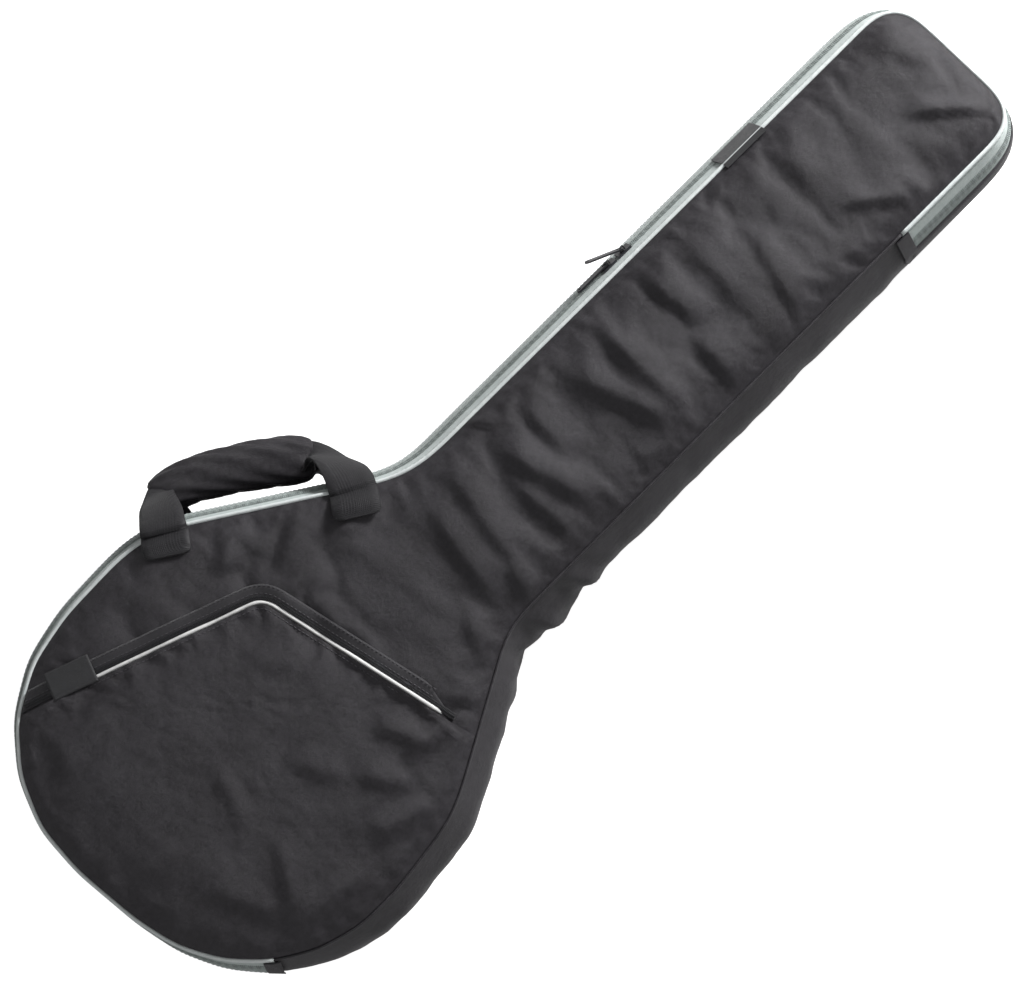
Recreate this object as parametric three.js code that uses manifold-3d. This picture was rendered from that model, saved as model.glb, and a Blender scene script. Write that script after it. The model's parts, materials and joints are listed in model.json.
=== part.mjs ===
// Padded gig bag for a five-string banjo, lying on its back with the front panel up.
// Millimetres. X runs from the bottom of the body to the head, Y from the fold side to
// the handle side and Z up. The origin is on the ground under the middle of the bag.
import * as THREE from 'three';
import { mergeVertices } from 'three/addons/utils/BufferGeometryUtils.js';
import Module from 'manifold-3d';

const wasm = await Module();
wasm.setup();

// Outline of the panels, measured along their seam.
const seamLength = 1040;
const neckWidth = 152;
const handleReach = 205;
const handleReachDrop = 10;
const foldReach = 187;
const foldReachRise = 30;
const bottomLean = 38;
const bottomOverhang = 14;
const handleWaistX = 441;
const handleShoulderX = 241;
const foldWaistX = 407;
const foldShoulderX = 260;
const headCornerRadius = 28;
const waistRadius = 110;
const foldWaistRadius = 70;
const shoulderRadius = 110;
const topBodyRadius = 150;
const bottomBodyRadius = 155;
const zipHeadRun = 149.5;

// Depth of the bag and the layers of its walls.
const backRest = 6.3;
const backCrown = 8.7;
const seamHeight = 96;
const frontCrown = 9;
const wallBulge = 19.5;
const shellThickness = 1.2;
const foamThickness = 9;
const liningThickness = 0.8;
const layerGap = 0.35;
const crownEdge = 10;
const crownEdgeRise = 6;
const crownWidth = 32;

// The long zip, as widths measured down the wall from the front seam.
const seamAllowance = 1.5;
const frontTapeWidth = 12;
const coilHalfWidth = 2.7;
const coilParting = 1.4;
const coilProud = 1.2;
const coilSink = 1.6;
const backTapeWidth = 14.5;
const tapeThickness = 1.2;
const foamSetback = 6;
const tabLength = 15;
const tabThickness = 1.2;

// The tapes that bind the raw edges of the seams, and the rims of the front's layers.
const bindingWidth = 4.6;
const bindingThickness = 2;
const bindingInset = 3.4;
const frontFoamInset = 4;
const frontLiningInset = 5;

// The hinge line where the opened front folds over.
const foldGap = 0.4;
const foldHeadroom = 3.2;

// The front pocket.
const pocketRim = 1;
const pocketLift = 4.6;
const pocketSlopeWidth = 62;
const pocketFabric = 1.2;
const mouthLeft = [61.5, 169];
const mouthApex = [277.5, 91];
const mouthRight = [320, -100];
const mouthRadius = 25;
const pipingWidth = 4.5;
const pipingProud = 1.8;
const pocketTapeWidth = 10;
const pocketCoilWidth = 3;
const pocketCoilHeight = 1.6;
const pocketSliderRun = 50;

// The carrying handle.
const strapWidth = 38;
const strapThickness = 2.2;
const strapGripWidth = 26;
const anchorSpan = 167.2;
const anchorShift = -16;
const anchorLength = 30;
const backAnchorLength = 14;
const gripLength = 126;
const gripShift = -37.8;
const gripReach = 47.5;
const gripHeight = 48;
const gripWidth = 38;
const gripFloor = 8;
const gripWall = 5;
const gripRound = 8;
const flapThickness = 8;
const hookTapeThickness = 0.8;

// The shoulder straps on the back.
const padWidth = 58;
const padLength = 350;
const padThickness = 6;
const padRound = 14;
const webbingWidth = 36;
const webbingThickness = 1.2;
const webbingRest = 0.4;
const strapTopX = 560;
const strapTopY = 36;
const strapRun = 94;
const buckleLength = 34;
const buckleWidth = 50;
const buckleThickness = 2.4;
const buckleBar = 5;
const tailLength = 64;
const anchorPatchLength = 30;

// The sliders and their pullers.
const sliderLength = 15;
const sliderPlate = 1.4;
const sliderLip = 1.2;
const sliderBridge = 0.8;
const sliderX = 704.5;
const sliderPitch = 18.5;
const pullerLength = 36;
const pullerWidth = 6;
const pullerThickness = 1.6;
const pullerEye = 1.4;
const pullerWindow = 5;
const pullerPlay = 0.4;
const pullerLiftShare = 0.45;
const bailHalf = 0.9;

// Labels.
const sideLabelX = 851;
const sideLabelLength = 48;
const pocketLabelLength = 39;
const pocketLabelWidth = 20;
const pocketLabelRun = 32;
const labelThickness = 0.9;

// The gap that keeps two touching pieces apart.
const seat = 0.3;

// Shares that shape the outline, the walls and the crown.
const endBulgeShare = 0.23;
const handleBulgeShare = 0.76;
const wallHeightShares = [0, 0.25, 0.5, 0.75, 1];
const wallBulgeShares = [0, 0.76, 1, 0.76, 0];
const strapSplayShare = 0.092;
const smallestRadius = 1;

// Heights above the ground.
const backSeamZ = backRest + backCrown;
const frontSeamZ = backSeamZ + seamHeight;
const frontTopZ = frontSeamZ + frontCrown;
const neckHalf = neckWidth / 2;

// Places given from the bottom seam, brought to the middle of the bag.
const alongBag = (fromBottom) => fromBottom - seamLength / 2;

// Straight lines through a list of places and values.
function follow(places, values, place) {
  const last = places.length - 1;
  if (place <= places[0]) return values[0];
  if (place >= places[last]) return values[last];
  const next = places.findIndex((entry) => entry > place);
  const share = (place - places[next - 1]) / (places[next] - places[next - 1]);
  return values[next - 1] + share * (values[next] - values[next - 1]);
}

const crownInsets = [0, crownEdge, crownWidth];
const frontFace = (inset) => frontSeamZ + follow(crownInsets, [0, crownEdgeRise, frontCrown], inset);
const backFace = (inset) => backSeamZ - follow(crownInsets, [0, crownEdgeRise, backCrown], inset);
const wallNodes = wallHeightShares.map((share) => backSeamZ + share * seamHeight);
const wallReach = (z) => wallBulge * follow(wallNodes, wallBulgeShares, z);

// The corners of the seam outline, anticlockwise from the fold side of the head. Each one
// also describes the edge that follows it.
const headCorner = { x: seamLength, radius: headCornerRadius, steps: 4 };
const corners = [
  { ...headCorner, y: -neckHalf, edgeSteps: 2, bulgeShare: endBulgeShare },
  { ...headCorner, y: neckHalf, edgeSteps: 4 },
  { x: handleWaistX, y: neckHalf, radius: waistRadius, steps: 3, edgeSteps: 2, bulgeShare: handleBulgeShare },
  { x: handleShoulderX, y: handleReach, radius: shoulderRadius, steps: 3, edgeSteps: 1,
    bulgeShare: handleBulgeShare },
  { x: -bottomOverhang, y: handleReach - handleReachDrop, radius: topBodyRadius, steps: 5, edgeSteps: 2,
    bulgeShare: endBulgeShare },
  { x: bottomLean - bottomOverhang, y: -foldReach, radius: bottomBodyRadius, steps: 6, edgeSteps: 1, zipSteps: 3 },
  { x: foldShoulderX, y: foldReachRise - foldReach, radius: shoulderRadius, steps: 2, edgeSteps: 2 },
  { x: foldWaistX, y: -neckHalf, radius: foldWaistRadius, steps: 3, edgeSteps: 3 },
];
const waistCorner = corners.findIndex((corner) => corner.x === handleWaistX);
const bottomZipCorner = corners.findIndex((corner) => corner.zipSteps !== undefined);

function cornerPoint(index) {
  const corner = corners[index % corners.length];
  return new THREE.Vector2(alongBag(corner.x), corner.y);
}

// The edge from one corner to the next, moved outward, as a point and a direction.
function movedEdge(index, reach, bulge) {
  const wrapped = (index + corners.length) % corners.length;
  const start = cornerPoint(wrapped);
  const along = cornerPoint(wrapped + 1).sub(start).normalize();
  const { bulgeShare = 1 } = corners[wrapped];
  const move = reach + bulge * bulgeShare;
  const outward = new THREE.Vector2(along.y, -along.x);
  return { start: start.addScaledVector(outward, move), along, move };
}

function meeting(first, second) {
  const gap = second.start.clone().sub(first.start);
  const run = gap.cross(second.along) / first.along.cross(second.along);
  return first.start.clone().addScaledVector(first.along, run);
}

// Points of the arc that rounds the meeting of two edges.
function roundedCorner(first, second, radius, steps) {
  const turn = Math.atan2(first.along.cross(second.along), first.along.dot(second.along));
  const side = Math.sign(turn);
  const tangent = radius * Math.tan(Math.abs(turn) / 2);
  const from = meeting(first, second).addScaledVector(first.along, -tangent);
  const centre = from.clone().add(new THREE.Vector2(-first.along.y, first.along.x).multiplyScalar(side * radius));
  const points = [];
  for (let step = 0; step <= steps; step += 1) {
    points.push(from.clone().rotateAround(centre, turn * step / steps));
  }
  return points;
}

// The outline at a reach beyond the seam and a bulge of the side walls. Its points keep
// their number and order, so outlines at other reaches match point by point. It starts
// where the zip ends on the fold side of the head.
function outline(reach, bulge) {
  const arcs = corners.map((corner, index) => {
    const before = movedEdge(index - 1, reach, bulge);
    const after = movedEdge(index, reach, bulge);
    const sign = Math.sign(before.along.cross(after.along));
    const radius = Math.max(corner.radius + sign * (before.move + after.move) / 2, smallestRadius);
    return roundedCorner(before, after, radius, corner.steps);
  });
  const lastEdge = movedEdge(corners.length - 1, reach, bulge);
  const headMeeting = meeting(lastEdge, movedEdge(0, reach, bulge));
  const zipHead = headMeeting.addScaledVector(lastEdge.along, -zipHeadRun);
  const points = [zipHead];
  corners.forEach((corner, index) => {
    const arc = arcs[index];
    const last = index === corners.length - 1;
    const edgeEnd = last ? zipHead : arcs[index + 1][0];
    points.push(...arc);
    for (let step = 1; step < corner.edgeSteps; step += 1) {
      points.push(arc[corner.steps].clone().lerp(edgeEnd, step / corner.edgeSteps));
    }
  });
  return points;
}

// The place of the zip's bottom end in that list, and the seam itself.
const bottomZipStation = 1 + corners[bottomZipCorner].zipSteps + corners
  .slice(0, bottomZipCorner)
  .reduce((count, corner) => count + corner.steps + corner.edgeSteps, 0);
const seam = outline(0, 0);
const stations = seam.length;

// A mesh's points and triangles as a geometry, with its faces turned outward.
function closedGeometry(positions, triangles) {
  const corner = (index) => new THREE.Vector3().fromArray(positions, index * 3);
  let volume = 0;
  for (const [a, b, c] of triangles) {
    volume += corner(a).dot(corner(b).cross(corner(c)));
  }
  const turned = volume < 0 ? triangles.map(([a, b, c]) => [a, c, b]) : triangles;
  const geometry = new THREE.BufferGeometry();
  geometry.setAttribute('position', new THREE.Float32BufferAttribute(positions, 3));
  geometry.setIndex(turned.flat());
  return geometry;
}

// Triangles that fill a flat face, wound with its points. The fill leaves out points in the
// middle of a straight edge, so the triangle on that edge is split to bring them back.
function faceTriangles(face) {
  const filled = THREE.ShapeUtils.triangulateShape(face, []);
  const areas = filled.map((triangle) => THREE.ShapeUtils.area(triangle.map((index) => face[index])));
  const area = areas.reduce((sum, value) => sum + value, 0);
  const turned = area * THREE.ShapeUtils.area(face) < 0;
  const triangles = filled.map(([a, b, c]) => (turned ? [a, c, b] : [a, b, c]));
  const count = face.length;
  const used = (point) => triangles.some((triangle) => triangle.includes(point % count));
  for (let point = 1; point < count * 2; point += 1) {
    if (used(point) || !used(point - 1)) continue;
    const before = (point - 1) % count;
    let after = (point + 1) % count;
    while (!used(after)) after = (after + 1) % count;
    const at = triangles.findIndex((triangle) => triangle.includes(before) && triangle.includes(after));
    const third = triangles[at].find((index) => index !== before && index !== after);
    triangles.splice(at, 1, [before, point % count, third], [point % count, after, third]);
  }
  return triangles;
}

// A closed solid through rings of points. The face lists give the shape of its flat ends;
// without them the last ring joins the first.
function loft(rings, face) {
  const count = rings[0].length;
  const joined = face === undefined;
  const triangles = [];
  const spans = joined ? rings.length : rings.length - 1;
  for (let ring = 0; ring < spans; ring += 1) {
    const near = ring * count;
    const far = ((ring + 1) % rings.length) * count;
    for (let point = 0; point < count; point += 1) {
      const next = (point + 1) % count;
      triangles.push([near + point, near + next, far + next]);
      triangles.push([near + point, far + next, far + point]);
    }
  }
  if (!joined) {
    const last = (rings.length - 1) * count;
    for (const [a, b, c] of faceTriangles(face)) {
      triangles.push([a, c, b]);
      triangles.push([last + a, last + b, last + c]);
    }
  }
  const positions = rings.flat().flatMap((point) => [point.x, point.y, point.z]);
  return closedGeometry(positions, triangles);
}

// A slab that follows the front or back face between two depths under it. Insets are
// measured in from the seam; inward is -1 on the front and 1 on the back.
function slab(insets, faceHeight, inward, outerDepth, innerDepth) {
  const ringAt = (inset, depth) => outline(-inset, 0)
    .map((point) => new THREE.Vector3(point.x, point.y, faceHeight(inset) + inward * depth));
  const outer = [...insets].reverse().map((inset) => ringAt(inset, outerDepth));
  const inner = insets.map((inset) => ringAt(inset, innerDepth));
  const face = outline(-insets[insets.length - 1], 0);
  return loft([...outer, ...inner], face);
}

// A place in a section through a wall: a height and a depth in from the wall's face.
const wallPlace = (z, depth) => ({ bulge: wallReach(z), reach: -depth, z });

function wallSection(lowZ, highZ, outerDepth, innerDepth) {
  const heights = [lowZ, ...wallNodes.filter((z) => z > lowZ && z < highZ), highZ];
  const outer = heights.map((z) => wallPlace(z, outerDepth));
  const inner = heights.reverse().map((z) => wallPlace(z, innerDepth));
  return [...outer, ...inner];
}

// A section carried along the outline from one station to another, its ends held back by
// the seat gap. The whole way round it closes on itself.
function band(section, from, to) {
  const paths = section.map((place) => outline(place.reach, place.bulge));
  const ringAt = (station) => section
    .map((place, index) => {
      const point = paths[index][station % stations];
      return new THREE.Vector3(point.x, point.y, place.z);
    });
  const rings = [];
  for (let station = from; station <= to; station += 1) {
    rings.push(ringAt(station));
  }
  if (to - from === stations) {
    rings.pop();
    return loft(rings);
  }
  const holdBack = (ring, towards) => ring.forEach((point, index) => {
    const run = towards[index].clone().sub(point);
    point.addScaledVector(run.normalize(), seat);
  });
  holdBack(rings[0], rings[1]);
  holdBack(rings[rings.length - 1], rings[rings.length - 2]);
  return loft(rings, section.map((place) => new THREE.Vector2(place.bulge + place.reach, place.z)));
}

// Joins and cuts.
function toSolid(geometry) {
  const plain = geometry.clone();
  plain.deleteAttribute('normal');
  plain.deleteAttribute('uv');
  const merged = mergeVertices(plain);
  return new wasm.Manifold(new wasm.Mesh({
    numProp: 3,
    vertProperties: Float32Array.from(merged.attributes.position.array),
    triVerts: Uint32Array.from(merged.index.array),
  }));
}

function toGeometry(solid) {
  const { vertProperties, triVerts } = solid.getMesh();
  const geometry = new THREE.BufferGeometry();
  geometry.setAttribute('position', new THREE.BufferAttribute(Float32Array.from(vertProperties), 3));
  geometry.setIndex(new THREE.BufferAttribute(Uint32Array.from(triVerts), 1));
  return geometry;
}

const cut = (geometry, tool) => toGeometry(toSolid(geometry).subtract(toSolid(tool)));
const keep = (geometry, tool) => toGeometry(toSolid(geometry).intersect(toSolid(tool)));
const join = (...geometries) => toGeometry(geometries.map(toSolid).reduce((all, next) => all.add(next)));

// A flat shape given thickness between two heights.
function prism(points, lowZ, highZ) {
  const geometry = new THREE.ExtrudeGeometry(new THREE.Shape(points), {
    depth: highZ - lowZ,
    bevelEnabled: false,
  });
  return geometry.translate(0, 0, lowZ);
}

function block(low, high) {
  const size = high.map((value, axis) => value - low[axis]);
  const middle = high.map((value, axis) => (value + low[axis]) / 2);
  return new THREE.BoxGeometry(...size).translate(...middle);
}

// The assembly: one group for the case, one for what turns with the front.
const bag = new THREE.Group();
const nylon = { color: '#2d2a2e', roughness: 0.85, metalness: 0 };
const foam = { color: '#55565a', roughness: 0.95, metalness: 0 };
const lining = { color: '#3a3a40', roughness: 0.8, metalness: 0 };
const zipTape = { color: '#96a09e', roughness: 0.8, metalness: 0 };
const brightStrip = { color: '#c8d0d0', roughness: 0.75, metalness: 0 };
const webbing = { color: '#1d1c1f', roughness: 0.85, metalness: 0 };
const blackPlastic = { color: '#161618', roughness: 0.5, metalness: 0 };
const blackMetal = { color: '#202024', roughness: 0.4, metalness: 0.8 };

function add(parent, name, geometry, finish) {
  const mesh = new THREE.Mesh(geometry, new THREE.MeshStandardMaterial(finish));
  mesh.name = name;
  parent.add(mesh);
  return mesh;
}

// Depths of the three layers under a face.
const foamTop = shellThickness + layerGap;
const foamUnder = foamTop + foamThickness;
const liningTop = foamUnder + layerGap;
const liningUnder = liningTop + liningThickness;
const layers = [
  { name: 'shell', outer: 0, inner: shellThickness, finish: nylon },
  { name: 'foam', outer: foamTop, inner: foamUnder, finish: foam },
  { name: 'lining', outer: liningTop, inner: liningUnder, finish: lining },
];

// Back panel. Its foam and lining stop short of the side walls' layers.
const backRim = liningUnder + shellThickness - layerGap;
for (const { name, outer, inner, finish } of layers) {
  const insets = name === 'shell' ? crownInsets : [backRim, crownWidth];
  add(bag, `back_${name}`, slab(insets, backFace, 1, outer, inner), finish);
}

// The tape that binds the raw edges of the back seam, inside the bag.
const bindingPlace = (inset, depth) => ({ bulge: 0, reach: -inset, z: backFace(inset) + depth });
const backBinding = [
  bindingPlace(bindingInset, foamTop),
  bindingPlace(bindingInset + bindingWidth, foamTop),
  bindingPlace(bindingInset + bindingWidth, foamTop + bindingThickness),
  bindingPlace(bindingInset, foamTop + bindingThickness),
];
add(bag, 'back_binding', band(backBinding, 0, stations), webbing);

// Heights of the zip's parts down the wall.
const wallLowZ = backSeamZ + shellThickness + seat;
const wallFoamLowZ = wallLowZ + seat;
const frontTapeTopZ = frontSeamZ - seamAllowance;
const frontTapeLowZ = frontTapeTopZ - frontTapeWidth;
const frontCoilTopZ = frontTapeLowZ - seat;
const frontCoilLowZ = frontCoilTopZ - coilHalfWidth;
const backCoilTopZ = frontCoilLowZ - coilParting;
const backCoilLowZ = backCoilTopZ - coilHalfWidth;
const backTapeTopZ = backCoilLowZ - seat;
const backTapeLowZ = backTapeTopZ - backTapeWidth;
const zipWallTopZ = backTapeLowZ - seat;
const zipWallFoamTopZ = zipWallTopZ - foamSetback;
const partingZ = (frontCoilLowZ + backCoilTopZ) / 2;

// Side walls: the gusset on the fold side stands the full depth, and the wall behind the
// zip stops under the zip's tape.
const gussetFoamTopZ = frontFace(0) - foamUnder - seat;
const walls = [
  { name: 'gusset', from: bottomZipStation, to: stations, topZ: frontTapeTopZ, foamTopZ: gussetFoamTopZ },
  { name: 'wall', from: 0, to: bottomZipStation, topZ: zipWallTopZ, foamTopZ: zipWallFoamTopZ },
];
for (const wall of walls) {
  for (const { name, outer, inner, finish } of layers) {
    const lowZ = name === 'shell' ? wallLowZ : wallFoamLowZ;
    const highZ = name === 'shell' ? wall.topZ : wall.foamTopZ;
    add(bag, `${wall.name}_${name}`, band(wallSection(lowZ, highZ, outer, inner), wall.from, wall.to), finish);
  }
}

// The zip lies on the top slope of the wall, square to it.
const slopeRun = wallReach(wallNodes[3]) - wallReach(frontSeamZ);
const slopeAngle = Math.atan2(slopeRun, frontSeamZ - wallNodes[3]);
const onSlope = (z, proud) => ({
  bulge: wallReach(z),
  reach: proud * Math.cos(slopeAngle),
  z: z + proud * Math.sin(slopeAngle),
});
const backTape = [
  wallPlace(backTapeLowZ, 0),
  wallPlace(wallNodes[3], 0),
  onSlope(backTapeTopZ, 0),
  onSlope(backTapeTopZ, -tapeThickness),
  wallPlace(wallNodes[3], tapeThickness),
  wallPlace(backTapeLowZ, tapeThickness),
];
const slopeStrip = (lowZ, highZ, proud, sunk) => [
  onSlope(lowZ, proud),
  onSlope(highZ, proud),
  onSlope(highZ, -sunk),
  onSlope(lowZ, -sunk),
];
add(bag, 'zip_tape_back', band(backTape, 0, bottomZipStation), zipTape);
const backCoil = slopeStrip(backCoilLowZ, backCoilTopZ, coilProud, coilSink);
add(bag, 'zip_coil_back', band(backCoil, 0, bottomZipStation), zipTape);

// A large block on the left of a line between two points, held back from it by a gap and
// starting at a distance before the first point.
function leftOf(start, end, gap, before) {
  const along = end.clone().sub(start);
  return block([-before, gap, 0], [along.length() + seamLength, seamLength, frontTopZ + frontSeamZ])
    .rotateZ(along.angle())
    .translate(start.x, start.y, 0);
}

// The front turns about a straight line between the ends of the zip, above the rim of the
// pocket. Only over the body does the panel reach beyond that line.
const foldStart = seam[bottomZipStation];
const foldEnd = seam[0];
const foldZ = frontTopZ + foldHeadroom;
const foldWaistShare = (alongBag(foldWaistX) - foldStart.x) / (foldEnd.x - foldStart.x);
const foldWaist = foldStart.clone().lerp(foldEnd, foldWaistShare);
const beyondFold = (gap) => leftOf(foldWaist, foldStart, gap, 0);
const front = new THREE.Group();
bag.add(front);

// Front panel: the part inside the fold line turns, the strip outside it stays.
const frontRim = { shell: 0, foam: frontFoamInset, lining: frontLiningInset };
for (const { name, outer, inner, finish } of layers) {
  const insets = [frontRim[name], crownEdge, crownWidth];
  const whole = slab(insets, frontFace, -1, outer, inner);
  add(front, `front_${name}`, cut(whole, beyondFold(-foldGap)), finish);
  add(bag, `front_strip_${name}`, keep(whole, beyondFold(foldGap)), finish);
}

const frontTape = slopeStrip(frontTapeLowZ, frontTapeTopZ, 0, tapeThickness);
add(front, 'zip_tape_front', band(frontTape, 0, bottomZipStation), brightStrip);
const frontCoil = slopeStrip(frontCoilLowZ, frontCoilTopZ, coilProud, coilSink);
add(front, 'zip_coil_front', band(frontCoil, 0, bottomZipStation), zipTape);

// The tape that binds the raw edges of the front seam behind the zip's front tape.
const frontBindingInset = frontRim.foam - layerGap;
const frontBinding = [
  { bulge: 0, reach: -frontBindingInset, z: frontTapeTopZ },
  { bulge: 0, reach: bindingThickness - frontBindingInset, z: frontTapeTopZ },
  { bulge: 0, reach: bindingThickness - frontBindingInset, z: frontTapeTopZ - bindingWidth },
  { bulge: 0, reach: -frontBindingInset, z: frontTapeTopZ - bindingWidth },
];
add(front, 'front_binding', band(frontBinding, 0, bottomZipStation), webbing);

// Tabs sewn over the two ends of the zip, across its whole width.
const tabReach = (coilProud + seat) / Math.cos(slopeAngle);
const tabSection = wallSection(backTapeLowZ, frontTapeTopZ, -tabReach - tabThickness, -tabReach);
function zipTab(station) {
  const at = seam[station % stations];
  const along = seam[(station + 1) % stations].clone().sub(seam[station - 1]);
  const reach = wallBulge * 2;
  const nearEnd = block([-tabLength / 2, -reach, 0], [tabLength / 2, reach, frontTopZ])
    .rotateZ(along.angle())
    .translate(at.x, at.y, 0);
  return keep(band(tabSection, station - 1, station + 1), nearEnd);
}
add(bag, 'zip_tab_head', zipTab(stations), nylon);
add(bag, 'zip_tab_bottom', zipTab(bottomZipStation), nylon);

// Front pocket. Its fabric lies on the panel at the rim and stands off it further in, with
// room for music sheets. The mouth is a chevron of two legs with a rounded top.
const mouth = [mouthLeft, mouthApex, mouthRight].map(([x, y]) => new THREE.Vector2(alongBag(x), y));
const mouthSteps = 4;

// The mouth's line moved outward from the pocket, its left leg run out past the seam.
function mouthLine(move) {
  const legs = [0, 1].map((index) => {
    const along = mouth[index + 1].clone().sub(mouth[index]).normalize();
    const outward = new THREE.Vector2(-along.y, along.x);
    return { start: mouth[index].clone().addScaledVector(outward, move), along, outward };
  });
  const arc = roundedCorner(legs[0], legs[1], mouthRadius + move, mouthSteps);
  const start = legs[0].start.addScaledVector(legs[0].along, -mouthRadius);
  const end = mouth[2].clone().addScaledVector(legs[1].outward, move);
  return [start, ...arc, end];
}

const alongMouth = (from, to) => prism([...mouthLine(from), ...mouthLine(to).reverse()], 0, frontTopZ * 2);

function belowMouth(move) {
  const line = mouthLine(move);
  const rightLeg = mouth[2].clone().sub(mouth[1]);
  const overSeam = line[line.length - 1].clone().add(rightLeg);
  const farBottom = new THREE.Vector2(-seamLength, overSeam.y);
  const farTop = new THREE.Vector2(-seamLength, line[0].y);
  return prism([...line, overSeam, farBottom, farTop], 0, frontTopZ * 2);
}

const pocketInsets = [pocketRim, crownEdge, crownWidth, pocketSlopeWidth];
const pocketFace = (rest) => (inset) => {
  const rise = follow([0, crownWidth, pocketSlopeWidth], [rest, rest, pocketLift], inset);
  return frontFace(inset) + rise + pocketFabric;
};
const pocketSlab = (rest) => slab(pocketInsets, pocketFace(rest), -1, 0, pocketFabric);
const belowPocketFold = leftOf(mouth[2], mouth[0], seat, seamLength);
const abovePocketFold = leftOf(mouth[0], mouth[2], seat, 0);
const pocketPanel = keep(keep(pocketSlab(seat), belowMouth(-pipingWidth - seat)), belowPocketFold);
add(front, 'pocket_panel', cut(pocketPanel, beyondFold(-foldGap)), nylon);
add(bag, 'pocket_strip', keep(pocketPanel, beyondFold(foldGap)), nylon);

// The flap folds down about the line between the ends of the mouth. It and its piping lie
// over the zip, whose height lifts them off the panel.
const overCoil = seat + pocketCoilHeight + seat;
const pocketFoldZ = frontTopZ + pocketLift + pocketFabric + seat;
const pocketFlap = new THREE.Group();
front.add(pocketFlap);
const flapCloth = keep(pocketSlab(overCoil), belowMouth(-pipingWidth - seat));
add(pocketFlap, 'pocket_flap', keep(flapCloth, abovePocketFold), nylon);
const pipingSlab = slab(pocketInsets, pocketFace(overCoil), -1, -pipingProud, pocketFabric);
const piping = keep(keep(pipingSlab, alongMouth(-pipingWidth, 0)), abovePocketFold);
add(pocketFlap, 'pocket_piping', piping, { color: '#e0e0e0', roughness: 0.5, metalness: 0 });

// The pocket's zip is sewn to the front panel just above the mouth.
const onFront = (height) => slab([pocketRim, crownEdge, crownWidth], frontFace, -1, -seat - height, -seat);
const pocketTapeStart = seat + pocketCoilWidth + seat;
const pocketTapeEnd = pocketTapeStart + pocketTapeWidth;
add(front, 'pocket_zip_tape', keep(onFront(tapeThickness), alongMouth(pocketTapeStart, pocketTapeEnd)), webbing);
const pocketCoil = keep(onFront(pocketCoilHeight), alongMouth(seat, seat + pocketCoilWidth));
add(front, 'pocket_zip_coil', pocketCoil, blackPlastic);

// Labels: a bare woven loop over the long zip and a bare tag at the pocket's mouth.
function thickLine(points, thickness) {
  const sides = [1, -1].map((side) => points.map((point, index) => {
    const before = points[Math.max(index - 1, 0)];
    const after = points[Math.min(index + 1, points.length - 1)];
    const into = index === 0 ? after.clone().sub(point) : point.clone().sub(before);
    const outOf = index === points.length - 1 ? into : after.clone().sub(point);
    const mean = into.clone().normalize().add(outOf.clone().normalize()).normalize();
    const stretch = mean.dot(into.clone().normalize());
    const across = new THREE.Vector2(-mean.y, mean.x);
    return point.clone().addScaledVector(across, side * thickness / 2 / stretch);
  }));
  return [...sides[0], ...sides[1].reverse()];
}

// A section drawn across Y and Z, carried along X.
const sectionAcross = new THREE.Matrix4().makeBasis(
  new THREE.Vector3(0, 1, 0),
  new THREE.Vector3(0, 0, 1),
  new THREE.Vector3(1, 0, 0),
);
function carried(shape, from, to) {
  const geometry = new THREE.ExtrudeGeometry(shape, { depth: to - from, bevelEnabled: false, curveSegments: 4 });
  return geometry.translate(0, 0, from).applyMatrix4(sectionAcross);
}

const neckWall = (place, z) => new THREE.Vector2(neckHalf + place.bulge + place.reach, z);
const labelProud = coilProud + seat + labelThickness / 2;
const labelLap = seamAllowance * 3;
const labelPath = [backCoilLowZ, frontTapeTopZ]
  .map((z) => onSlope(z, labelProud))
  .map((place) => neckWall(place, place.z));
labelPath.push(new THREE.Vector2(neckHalf, frontSeamZ + labelProud));
labelPath.push(new THREE.Vector2(neckHalf - labelLap, frontFace(labelLap) + labelProud));
const labelShape = new THREE.Shape(thickLine(labelPath, labelThickness));
const labelStart = alongBag(sideLabelX) - sideLabelLength / 2;
add(front, 'side_label', carried(labelShape, labelStart, labelStart + sideLabelLength), blackPlastic);

const pocketLabelZ = frontTopZ + overCoil;
const leftLeg = mouth[1].clone().sub(mouth[0]);
const tagGroup = new THREE.Group();
tagGroup.position.set(mouth[0].x, mouth[0].y, pocketLabelZ);
tagGroup.rotation.z = leftLeg.angle();
front.add(tagGroup);
const tag = block(
  [pocketLabelRun, seat, 0],
  [pocketLabelRun + pocketLabelLength, pocketLabelWidth + seat, labelThickness],
);
add(tagGroup, 'pocket_label', tag, blackPlastic);

// The carrying handle stands off the shoulder on the handle side. Its group has X along
// the shoulder's seam and Y outward from it.
const shoulderTop = cornerPoint(waistCorner + 1);
const shoulderRun = cornerPoint(waistCorner).sub(shoulderTop);
function handleFrame(parent) {
  const group = new THREE.Group();
  group.position.set(shoulderTop.x + shoulderRun.x / 2, shoulderTop.y + shoulderRun.y / 2, 0);
  group.rotation.z = shoulderRun.angle();
  parent.add(group);
  return group;
}
const handle = handleFrame(bag);
const frontHandle = handleFrame(front);

// Heights in the grip: the front webbing lies in the wrap's trough, and the back webbing
// runs under it, so that the wrap can rise with the front.
const gripLowZ = gripHeight - gripFloor - seat - strapThickness;
const gripFloorZ = gripLowZ + gripFloor;
const backWebZ = gripLowZ - seat - strapThickness / 2;
const frontWebZ = gripFloorZ + seat + strapThickness / 2;
const wrapTopZ = frontWebZ + strapThickness / 2 + seat;
const gripStart = gripShift - gripLength / 2;
const gripEnd = gripShift + gripLength / 2;
const gripInner = gripReach - strapGripWidth / 2;
const gripOuter = gripReach + strapGripWidth / 2;

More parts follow.
